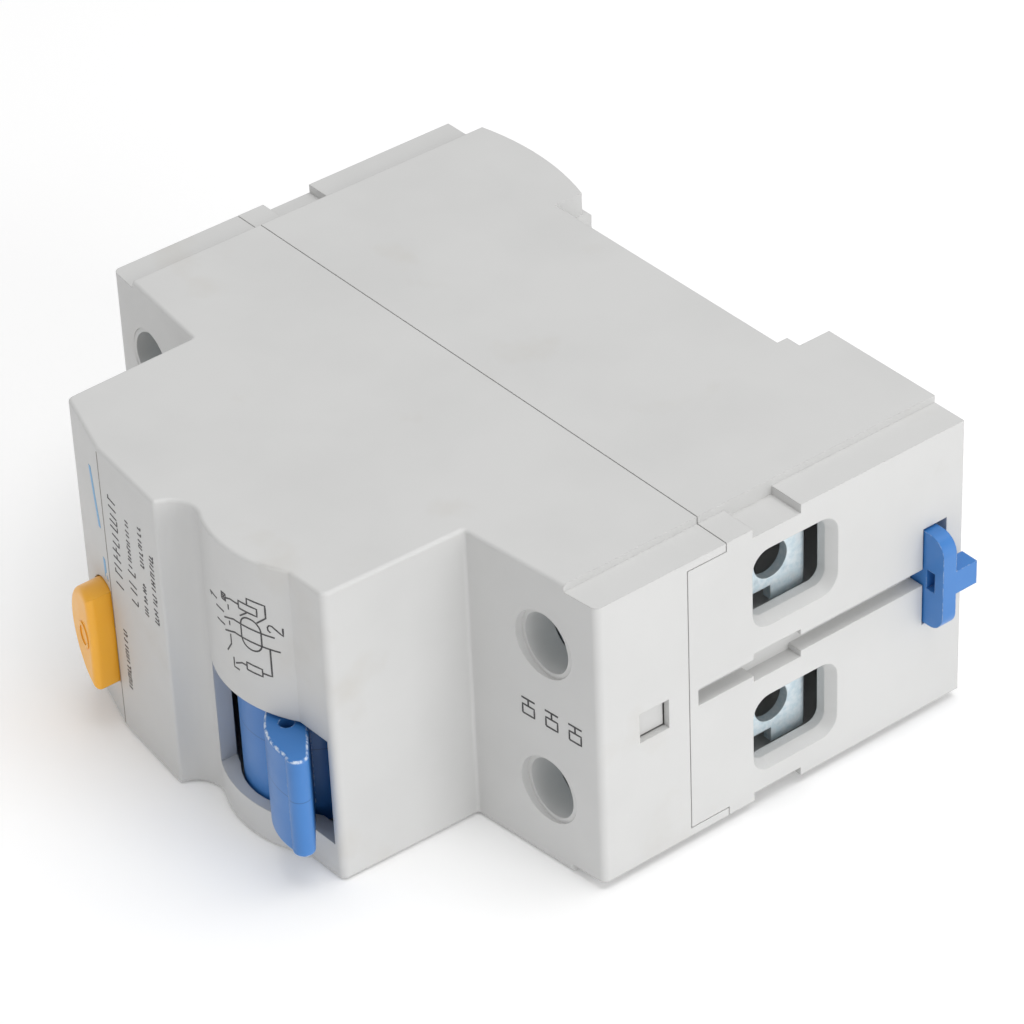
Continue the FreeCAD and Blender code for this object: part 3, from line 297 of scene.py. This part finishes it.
def banded(name, first, second, width, centre, shape, rough, **sockets):
    """Two tones in rings or bands round a centre, that many metres apart."""
    material, tree, shader, place = start(name, **sockets)
    centred = add(tree, "ShaderNodeMapping", {"Vector": place, "Location": [-c for c in centre]})
    wave = {"Vector": centred, "Scale": WAVE / width, "Distortion": 0.4}
    bands = add(tree, "ShaderNodeTexWave", wave, wave_type=shape).outputs["Fac"]
    ends = {0: bands, 6: linear(first), 7: linear(second)}
    colour = add(tree, "ShaderNodeMix", ends, data_type="RGBA")
    dust = add(tree, "ShaderNodeTexNoise", {"Vector": place, "Scale": 1 / (1.2 * MM), "Detail": 4.0})
    dust = add(tree, "ShaderNodeMapRange", {
        "Value": dust, "From Min": 0.5, "From Max": 0.7, "To Max": 0.5})
    colour = add(tree, "ShaderNodeMix", {0: dust, 6: colour, 7: linear(second)}, data_type="RGBA")
    normal, edge = edges(tree, 0.1 * MM)
    polish = add(tree, "ShaderNodeMapRange", {"Value": edge, "To Min": rough, "To Max": rough * 0.7})
    bump = add(tree, "ShaderNodeBump", {"Height": bands, "Distance": 0.01 * MM, "Normal": normal})
    dress(tree, shader, colour, polish, bump)
    return material


core_strip = banded("nanocrystalline_strip_wound", "#8d9096", "#6d7076", 0.12 * MM, core_middle,
                    "RINGS", 0.35, Metallic=1.0)
enamel_copper = banded("copper_wire_enamelled", "#a0522a", "#7d3818", 0.2 * MM, core_middle,
                       "BANDS", 0.3, Metallic=1.0, **{"Coat Weight": 0.6, "Coat Roughness": 0.12})
board_weave = banded("glass_epoxy_laminate", "#8a9a58", "#6f8044", 0.45 * MM, core_middle,
                     "BANDS", 0.4, IOR=1.55)
lacquer = banded("resistor_lacquer_beige", "#cdb48c", "#7b3f24", 1.6 * MM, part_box("test_resistor")[0],
                 "BANDS", 0.28, IOR=1.5)
print("patterned finishes:", [m.name for m in (core_strip, enamel_copper, board_weave, lacquer)])

# %% [markdown]
# Each CAD node names its material slot in the record. A table from slot to finish is enough to
# dress all of them, and the CAD meshes themselves are left alone. Only the lever differs from its
# slot: it is the same nylon as the rail clip, but its edges and rims carry a stronger painted
# highlight, broken into chips.

# %% Dress the CAD nodes
FINISHES = {
    "casing_plastic": casing_nylon, "blue_plastic": blue_nylon, "orange_plastic": orange_nylon,
    "dark_plastic": dark_phenolic, "wire_insulation": wire_sleeve, "zinc_plated_steel": zinc_steel,
    "spring_steel": spring_wire, "copper": rolled_copper, "relay_steel": relay_iron,
    "core_alloy": core_strip, "enamelled_copper": enamel_copper, "board_laminate": board_weave,
    "resistor_lacquer": lacquer,
}
slots = {part["node"]: part["material_slot"] for part in frame["record"]["subparts"]}
for node, obj in frame["nodes"].items():
    obj.data.materials.clear()
    obj.data.materials.append(FINISHES[slots[node]])
frame["nodes"]["operating_lever"].data.materials[0] = lever_nylon
print(len(slots), "nodes dressed in", len(set(slots.values())), "finishes")

# %% [markdown]
# The front is printed: a wiring diagram beside the lever and lines of small type beside the
# button. Pad print is ink a few hundredths of a millimetre thick that follows the moulding.
# A texture could show it, but then the mesh would have none. Here each stroke is a thin raised
# ribbon. The strokes are written as flat paths in millimetres, X across the nose and Z along it,
# and each point is dropped onto the casing by a ray, so the ink bends with the surface.
# Only neutral marks are drawn: the diagram, terminal numbers and plain ticks in place of words.

# %% Ink and the ray that finds the casing
def ink(name, dark, thin):
    """Pad print: matt ink, a little patchy where it went on thin."""
    material, tree, shader, place = start(name, IOR=1.48)
    patch = add(tree, "ShaderNodeTexNoise", {"Vector": place, "Scale": 1 / (0.35 * MM), "Detail": 4.0})
    patch = add(tree, "ShaderNodeMapRange", {"Value": patch, "From Min": 0.5, "From Max": 0.75})
    colour = add(tree, "ShaderNodeMix", {0: patch, 6: linear(dark), 7: linear(thin)}, data_type="RGBA")
    matt = add(tree, "ShaderNodeMapRange", {"Value": patch, "To Min": 0.45, "To Max": 0.6})
    soft, _ = edges(tree, 0.02 * MM)
    grain = add(tree, "ShaderNodeTexNoise", {"Vector": place, "Scale": 1 / (0.12 * MM), "Detail": 2.0})
    bump = add(tree, "ShaderNodeBump", {"Height": grain, "Distance": 0.003 * MM, "Normal": soft})
    dress(tree, shader, colour, matt, bump)
    return material


black_ink = ink("pad_print_ink_black", "#3b3a3c", "#5c5a5a")
blue_ink = ink("pad_print_ink_blue", "#6fa9d6", "#93bfe0")
# The third finish is no print but a painted shadow for the crease at the label's edge.
shadow_line_paint = ink("label_edge_shadow", "#8d8884", "#a39e99")
cover = frame["nodes"]["front_cover"]
INK_THICK = 0.03 * MM
IN_FRONT = -0.08      # where a ray starts, clear of the nose
OVER_OPENING = -0.063   # how far forward a mark lies where it crosses the test key's opening


def on_nose(x, z):
    """The point of the casing straight behind (x, z) of the front, in metres."""
    hit, point, _, _ = cover.ray_cast(Vector((x * MM, IN_FRONT, z * MM)), Vector((0, 1, 0)))
    return point if hit else Vector((x * MM, OVER_OPENING, z * MM))


print("casing skin at the middle of the diagram:", [round(c * 1000, 2) for c in on_nose(12, 8)])

# %% [markdown]
# A stroke is a ribbon with a body: four lines of points run along the path, two on the casing and
# two lifted by the ink's thickness, and quads join them into a closed bar with capped ends.
# It is built with bmesh, because it is a handful of points with a simple rule.

# %% Ribbon strokes
STRIDE = 0.5   # the longest run between two points of a ribbon, in mm


def stroke(bm, path, width, lift, drop):
    """A closed ribbon along a flat path in mm; drop(x, z) gives its place on the surface."""
    spots = []
    for a, b in zip(path, path[1:]):
        steps = max(1, math.ceil(math.dist(a, b) / STRIDE))
        spots += [(a[0] + (b[0] - a[0]) * i / steps, a[1] + (b[1] - a[1]) * i / steps)
                  for i in range(steps)]
    spots.append(path[-1])
    rows = []
    for i, (x, z) in enumerate(spots):
        before, after = spots[max(i - 1, 0)], spots[min(i + 1, len(spots) - 1)]
        dx, dz = after[0] - before[0], after[1] - before[1]
        long = math.hypot(dx, dz)
        side = (-dz / long * width / 2, dx / long * width / 2)
        left, right = drop(x + side[0], z + side[1]), drop(x - side[0], z - side[1])
        up, down = Vector((0, -lift, 0)), Vector((0, lift / 2, 0))
        rows.append([bm.verts.new(p) for p in (left + up, right + up, right + down, left + down)])
    for first, second in zip(rows, rows[1:]):
        for i in range(4):
            bm.faces.new((first[i], first[(i + 1) % 4], second[(i + 1) % 4], second[i]))
    bm.faces.new(rows[0][::-1])
    bm.faces.new(rows[-1])


def keep(name, bm, material, body):
    """The finished mesh as a piece that rides on a body."""
    bmesh.ops.recalc_face_normals(bm, faces=bm.faces)
    mesh = bpy.data.meshes.new(name)
    bm.to_mesh(mesh)
    bm.free()
    mesh.materials.append(material)
    piece = bpy.data.objects.new(name, mesh)
    bpy.context.scene.collection.objects.link(piece)
    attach(piece, body)
    return piece


def drawn(name, paths, width, material, lift=INK_THICK, drop=on_nose,
          body="casing"):
    """One piece from many strokes."""
    bm = bmesh.new()
    for path in paths:
        stroke(bm, path, width, lift, drop)
    return keep(name, bm, material, body)


def block(x, z):
    """A closed rectangle between two pairs."""
    return [(x[0], z[0]), (x[1], z[0]), (x[1], z[1]), (x[0], z[1]), (x[0], z[0])]


print("stroke tools ready")

# %% [markdown]
# The wiring diagram sits on the bulge beside the lever slot: two poles pass through an oval, the
# summation transformer, and a test key and resistor close a loop round it.

# %% Wiring diagram
RING_CORNER = 1.2
ring = []
for cx, cz, turn in ((12.4, 9.2, 0), (12.2, 9.2, 90), (12.2, 7.8, 180), (12.4, 7.8, 270)):
    for step in range(0, 91, 15):
        angle = math.radians(turn + step)
        ring.append((cx + RING_CORNER * math.cos(angle), cz + RING_CORNER * math.sin(angle)))
ring.append(ring[0])
diagram = [
    ring,
    block((10.9, 13.3), (11.1, 12.0)),
    [(12.1, 12.0), (12.1, 12.8), (14.3, 12.8), (14.3, 11.3), (13.2, 10.3)],
    [(8.8, 11.2), (9.6, 11.5), (10.9, 11.5)],
    block((8.1, 8.8), (10.8, 11.6)), [(8.1, 10.8), (8.8, 11.6)], [(8.1, 11.6), (8.8, 10.8)],
    [(6.8, 9.2), (8.3, 9.2)], [(8.3, 8.6), (9.9, 9.2), (15.1, 9.2)],
    [(6.8, 7.6), (8.3, 7.6)], [(8.3, 7.0), (9.9, 7.6), (15.6, 7.6)],
    [(9.2, 10.6), (9.2, 10.0)], [(9.2, 8.6), (9.2, 8.1)], [(9.2, 7.0), (9.2, 5.8), (8.4, 4.6)],
    block((11.4, 13.4), (3.8, 4.7)), [(13.4, 4.25), (14.5, 4.25), (14.5, 7.6)],
    [(11.4, 4.25), (10.7, 4.25), (9.7, 3.7)], [(9.4, 4.25), (9.4, 3.1), (10.2, 3.1)],
    [(11.0, 10.2), (12.1, 11.1)],
]
diagram_ink = drawn("printed_diagram", diagram, 0.17, black_ink)
print(diagram_ink.name, len(diagram_ink.data.polygons), "faces")

# %% [markdown]
# The rows of small type become rows of plain ticks of the same height and spacing, drawn from a
# seeded generator so that every run gives the same print. Terminal numbers are kept: they are
# generic, and a reader expects them. Text stands along Z with its top towards -X.

# %% Rows of ticks, numbers and the blue sweep
import random

draw = random.Random(7)
ROWS = (
    # x of the row, from z, to z, tick height, pitch
    (-10.6, 1.8, 13.2, 1.5, 0.95), (-7.6, 1.5, 5.2, 1.5, 0.95), (-7.7, 6.0, 12.3, 0.7, 0.5),
    (-5.0, 1.6, 5.8, 0.7, 0.5), (-5.0, 7.6, 12.4, 0.7, 0.5), (-2.9, 1.8, 10.1, 0.8, 0.55),
    (-10.6, -11.2, -3.6, 0.7, 0.5),
)
ticks = []
for x, low, high, tall, pitch in ROWS:
    z = low
    while z < high:
        top = tall * draw.choice((0.5, 0.5, 0.36))
        ticks.append([(x + tall / 2, z), (x - top, z + 0.12 * tall)])
        if draw.random() < 0.45:
            bar = x + tall * draw.choice((0.5, 0.0, -0.42))
            ticks.append([(bar, z + 0.05), (bar, z + pitch * 0.6)])
        z += pitch * draw.choice((1.0, 1.0, 0.8, 1.5))
TWO = ((0, 1.3), (0.2, 1.55), (0.55, 1.6), (0.85, 1.4), (0.85, 1.1), (0, 0), (0.95, 0))
ONE = ((0.1, 1.25), (0.45, 1.6), (0.45, 0))
for shape, x, z in ((TWO, 16.0, 9.7), (ONE, 7.0, 9.6)):
    ticks.append([(x - v, z + u) for u, v in shape])
type_ink = drawn("printed_ticks", ticks, 0.16, black_ink)
swept = [[(-16.1, 13.4), (-15.5, 10.4), (-14.6, 6.7)], [(-14.3, 3.0), (-14.2, 0.6)]]
sweep = drawn("printed_blue_sweep", swept, 0.7, blue_ink)
# A dark line on the crease at the label's edge: painted shadow, laid on as a thin ribbon.
crease_shadow_painted = drawn("label_edge_painted_shadow", [[(-12.85, 17.2), (-12.85, -17.2)]], 0.14, shadow_line_paint)
signs = []
for x in (30.6, 33.8, 37.0):
    signs += [block((x - 0.8, x + 0.8), (-0.9, 0.2)), [(x, 0.2), (x, 1.0)],
              [(x - 0.9, 1.0), (x + 0.9, 1.0)]]
load_signs = drawn("printed_load_signs", signs, 0.2, black_ink)
print(len(ticks), "strokes of type;", sweep.name, crease_shadow_painted.name, load_signs.name)

# %% [markdown]
# The test key carries a small moulded ring, so a finger finds it. It is part of the moulding, so
# it has the key's own finish and rides on the key.

# %% Mark on the test key
key = frame["nodes"]["test_button"]
key_low, key_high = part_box("test_button")


def on_key(x, z):
    """The key's face straight behind (x, z)."""
    hit, point, _, _ = key.ray_cast(Vector((x * MM, IN_FRONT, z * MM)), Vector((0, 1, 0)))
    return point if hit else Vector((x * MM, key_low.y, z * MM))


middle, MARK_RADIUS = Vector((-15.7, 0, -6.3)), 1.3
circle = [(middle.x + MARK_RADIUS * math.cos(math.radians(a)),
           middle.z + MARK_RADIUS * math.sin(math.radians(a))) for a in range(0, 361, 15)]
mark = drawn("test_key_ring", [circle], 0.45, orange_nylon, 0.12 * MM, on_key,
             "button")
print("key spans, mm:", [round(c * 1000, 1) for c in (*key_low, *key_high)], mark.name)

# %% [markdown]
# Threads and windings repeat along a path, so Geometry Nodes make them. A screw thread is a
# helix: a Spiral curve with no change of radius, given a round section. The tree has named inputs,
# so the same tree makes all four threads and the turns of the relay coil. Its result is turned
# into a plain mesh before the piece is given to its body, and the modifier is taken off.

# %% Helix tree
def new_tree(name, sizes):
    """An empty geometry tree with its named inputs and a mesh output."""
    tree = bpy.data.node_groups.new(name, "GeometryNodeTree")
    tree.interface.new_socket("Geometry", in_out="INPUT", socket_type="NodeSocketGeometry")
    for size, (kind, value) in sizes.items():
        tree.interface.new_socket(size, in_out="INPUT", socket_type=kind).default_value = value
    tree.interface.new_socket("Geometry", in_out="OUTPUT", socket_type="NodeSocketGeometry")
    return tree, tree.nodes.new("NodeGroupInput").outputs


def grown(name, tree, values, material, body):
    """The tree's result as a plain mesh piece."""
    holder = bpy.data.objects.new(name, bpy.data.meshes.new(name + "_seed"))
    bpy.context.scene.collection.objects.link(holder)
    modifier = holder.modifiers.new("grow", "NODES")
    modifier.node_group = tree
    for socket in tree.interface.items_tree:
        if socket.in_out == "INPUT" and socket.name in values:
            modifier[socket.identifier] = values[socket.name]
    made = holder.evaluated_get(bpy.context.evaluated_depsgraph_get())
    mesh = bpy.data.meshes.new_from_object(made)
    holder.modifiers.remove(modifier)
    holder.data = mesh
    mesh.name = name
    mesh.materials.clear()
    mesh.materials.append(material)
    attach(holder, body)
    print(name, len(mesh.polygons), "faces")
    return holder


LENGTH, WHOLE, POINT = "NodeSocketFloat", "NodeSocketInt", "NodeSocketVector"
helix, size = new_tree("helix_of_wire", {
    "Turns": (LENGTH, 10.0), "Radius": (LENGTH, 2 * MM), "Height": (LENGTH, 10 * MM),
    "Wire": (LENGTH, 0.2 * MM), "Place": (POINT, (0, 0, 0)), "Turned": (POINT, (0, 0, 0)),
    "Material": ("NodeSocketMaterial", None),
})
spiral = add(helix, "GeometryNodeCurveSpiral", {
    "Resolution": 28, "Rotations": size["Turns"], "Start Radius": size["Radius"],
    "End Radius": size["Radius"], "Height": size["Height"]})
section = add(helix, "GeometryNodeCurvePrimitiveCircle", {"Resolution": 8, "Radius": size["Wire"]})
tube = add(helix, "GeometryNodeCurveToMesh", {
    "Curve": spiral, "Profile Curve": section, "Fill Caps": True})
set_down = add(helix, "GeometryNodeTransform", {
    "Geometry": tube, "Translation": size["Place"], "Rotation": size["Turned"]})
real = add(helix, "GeometryNodeRealizeInstances", {"Geometry": set_down})
finish = add(helix, "GeometryNodeSetMaterial", {"Geometry": real, "Material": size["Material"]})
add(helix, "NodeGroupOutput", {0: finish})
print(helix.name, "has", len(helix.nodes), "nodes")

# %% [markdown]
# Each clamp screw turns inside its cage, so each thread is its own piece and rides with its own
# screw. The pitch is 0.8 mm, and the crests stand only 0.09 mm out of the shaft, inside the play
# of the cage's tapped hole.

# %% Screw threads
THREAD_PITCH, SHAFT, CREST = 0.8 * MM, 2.45 * MM, 0.14 * MM
SUNK = 0.05 * MM    # how far the thread's centre line lies inside the shaft
HEAD, TIP = 3.2 * MM, 0.3 * MM   # lengths of the head and of the plain tip
LAID_DOWN = (math.radians(90), 0, 0)
for screw in sorted(node for node in frame["nodes"] if node.endswith("_screw")):
    low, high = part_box(screw)
    threaded = (high.y - TIP) - (low.y + HEAD)
    values = {
        "Turns": threaded / THREAD_PITCH, "Radius": SHAFT - SUNK, "Height": threaded,
        "Wire": CREST, "Place": ((low.x + high.x) / 2, high.y - TIP, (low.z + high.z) / 2),
        "Turned": LAID_DOWN, "Material": zinc_steel}
    grown(screw + "_thread", helix, values, zinc_steel, screw)

# %% [markdown]
# The secondary winding is many turns of enamelled wire round the ring. One turn is a rounded
# rectangle that hugs the ring's section; instances of it stand on points round the ring, each
# turned to the ring's own direction at that point.

# %% Ring winding tree
TURN_CORNER = 0.6 * MM
ring_tree, size = new_tree("turns_round_a_ring", {
    "Turns": (WHOLE, 48), "Ring": (LENGTH, 7.5 * MM), "Wide": (LENGTH, 3 * MM),
    "Deep": (LENGTH, 6 * MM), "Wire": (LENGTH, 0.2 * MM), "Place": (POINT, (0, 0, 0)),
    "Turned": (POINT, (0, 0, 0)), "Material": ("NodeSocketMaterial", None),
})
path = add(ring_tree, "GeometryNodeCurvePrimitiveCircle", {"Resolution": 96, "Radius": size["Ring"]})
points = add(ring_tree, "GeometryNodeCurveToPoints", {
    "Curve": path, "Count": size["Turns"]}, mode="COUNT")
loop = add(ring_tree, "GeometryNodeCurvePrimitiveQuadrilateral", {
    "Width": size["Wide"], "Height": size["Deep"]})
soft = add(ring_tree, "GeometryNodeFilletCurve", {
    "Curve": loop, "Radius": TURN_CORNER, "Limit Radius": True})
section = add(ring_tree, "GeometryNodeCurvePrimitiveCircle", {"Resolution": 6, "Radius": size["Wire"]})
turn = add(ring_tree, "GeometryNodeCurveToMesh", {"Curve": soft, "Profile Curve": section})
placed = add(ring_tree, "GeometryNodeInstanceOnPoints", {
    "Points": points, "Instance": turn, "Rotation": points.outputs["Rotation"]})
laid = add(ring_tree, "GeometryNodeTransform", {
    "Geometry": placed, "Translation": size["Place"], "Rotation": size["Turned"]})
real = add(ring_tree, "GeometryNodeRealizeInstances", {"Geometry": laid})
finish = add(ring_tree, "GeometryNodeSetMaterial", {"Geometry": real, "Material": size["Material"]})
add(ring_tree, "NodeGroupOutput", {0: finish})
print(ring_tree.name, "has", len(ring_tree.nodes), "nodes")

# %% [markdown]
# The two windings take the room of their CAD solids, which they replace. A turn's centre line lies
# half a wire inside that room. On the transformer there are as many turns as fit side by side
# round the hole. The relay's coil is wound on a straight bobbin, so the helix tree makes its outer
# layer, turn against turn. Wire sizes here are radii, because the trees' wires are given so.

# %% Transformer and relay windings
winding_low, winding_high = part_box("secondary_winding")
WIRE, WINDING_HOLE = 0.25 * MM, 5.7 * MM
CROWDING = 2.05   # a turn's share of the hole's rim, in wire radii
rim = (winding_high.z - winding_low.z) / 2
turns = grown("secondary_winding_turns", ring_tree, {
    "Turns": int(math.tau * (WINDING_HOLE + WIRE) / (CROWDING * WIRE)),
    "Ring": (rim + WINDING_HOLE) / 2, "Wide": rim - WINDING_HOLE - 2 * WIRE,
    "Deep": winding_high.x - winding_low.x - 2 * WIRE, "Wire": WIRE,
    "Place": (winding_low + winding_high) / 2, "Turned": (0, math.radians(90), 0),
    "Material": enamel_copper}, enamel_copper, "casing")
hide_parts("secondary_winding")

coil_low, coil_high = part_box("relay_coil")
coil_middle = (coil_low + coil_high) / 2
COIL_WIRE = 0.15 * MM
coil_long = coil_high.y - coil_low.y - 2 * COIL_WIRE
layer = grown("relay_coil_turns", helix, {
    "Turns": coil_long / (2 * COIL_WIRE), "Radius": (coil_high.x - coil_low.x) / 2 - COIL_WIRE,
    "Height": coil_long, "Wire": COIL_WIRE, "Turned": LAID_DOWN, "Material": enamel_copper,
    "Place": (coil_middle.x, coil_high.y - COIL_WIRE, coil_middle.z)},
    enamel_copper, "casing")
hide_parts("relay_coil")
for made, room in ((turns, (winding_low, winding_high)), (layer, (coil_low, coil_high))):
    co = [v.co for v in made.data.vertices]
    spans = [[round(f(c[i] for c in co) / MM, 2) for f in (min, max)] for i in range(3)]
    print(made.name, "spans, mm:", spans)
    print("its room, mm:", [[round(corner[i] / MM, 2) for corner in room] for i in range(3)])

# %% [markdown]
# The table is a large pale plane just under the device. The world is an even white, which stands
# for a light tent, and three large soft lamps model the form: one above, one beyond the load end
# and a weak one in front, so that the nose falls into a soft shade.

# %% Table, lamps and world
def plain(name, code, rough):
    """A plain pale finish for the table."""
    material, tree, shader, place = start(name, IOR=1.45)
    cloud = add(tree, "ShaderNodeTexNoise", {"Vector": place, "Scale": 1 / 0.3, "Detail": 3.0})
    cloud = add(tree, "ShaderNodeMapRange", {"Value": cloud, "From Min": 0.3, "From Max": 0.7})
    ends = {0: cloud, 6: linear(code), 7: linear("#fbfbfb")}
    tone = add(tree, "ShaderNodeMix", ends, data_type="RGBA")
    tree.links.new(shown(tone), shader.inputs["Base Color"])
    shader.inputs["Roughness"].default_value = rough
    shader.inputs["Emission Color"].default_value = linear("#ffffff")
    shader.inputs["Emission Strength"].default_value = 0.08
    return material


TABLE_HALF, TABLE_GAP = 3.0, 0.2 * MM
table = bmesh.new()
under = cad_box[0].z - TABLE_GAP
corners = ((-1, -1), (1, -1), (1, 1), (-1, 1))
table.faces.new([table.verts.new((x * TABLE_HALF, y * TABLE_HALF, under)) for x, y in corners])
table_mesh = bpy.data.meshes.new("table")
table.to_mesh(table_mesh)
table.free()
table_mesh.materials.append(plain("table_paper_white", "#ffffff", 0.9))
floor = bpy.data.objects.new("table", table_mesh)
bpy.context.scene.collection.objects.link(floor)

world = bpy.data.worlds.new("light_tent")
world.use_nodes = True
world.node_tree.nodes["Background"].inputs["Color"].default_value = linear("#ffffff")
WORLD_LIGHT = 0.5
world.node_tree.nodes["Background"].inputs["Strength"].default_value = WORLD_LIGHT
bpy.context.scene.world = world

LAMPS = (
    # name, place in metres, width, watts
    ("lamp_above", (0.15, 0.1, 0.9), 0.7, 4.4),
    ("lamp_end", (0.9, 0.1, 0.2), 0.6, 3.4),
    ("lamp_front", (0.1, -0.9, 0.5), 0.8, 0.1),
)
for name, place, width, watts in LAMPS:
    lamp = bpy.data.lights.new(name, "AREA")
    lamp.shape, lamp.size, lamp.energy = "SQUARE", width, watts
    holder = bpy.data.objects.new(name, lamp)
    holder.location = place
    holder.rotation_euler = (-Vector(place)).to_track_quat("-Z", "Y").to_euler()
    bpy.context.scene.collection.objects.link(holder)
bpy.context.scene.view_settings.view_transform = "Standard"
print("lamps:", [lamp[0] for lamp in LAMPS])

# %% [markdown]
# The camera stands above and in front of the load end, with a long lens from well back, so the
# edges of the device stay nearly parallel.

# %% Camera
eye = bpy.data.cameras.new("camera")
eye.lens, eye.sensor_width = 157.57, 36.0
eye.clip_start, eye.clip_end = 0.01, 20.0
camera = bpy.data.objects.new("camera", eye)
camera.location = (0.305926, -0.253386, 0.271274)
camera.rotation_euler = [math.radians(a) for a in (54.40847, 2.11116, 51.27427)]
bpy.context.scene.collection.objects.link(camera)
bpy.context.scene.camera = camera
print("camera", round(camera.location.length, 3), "m from the origin")
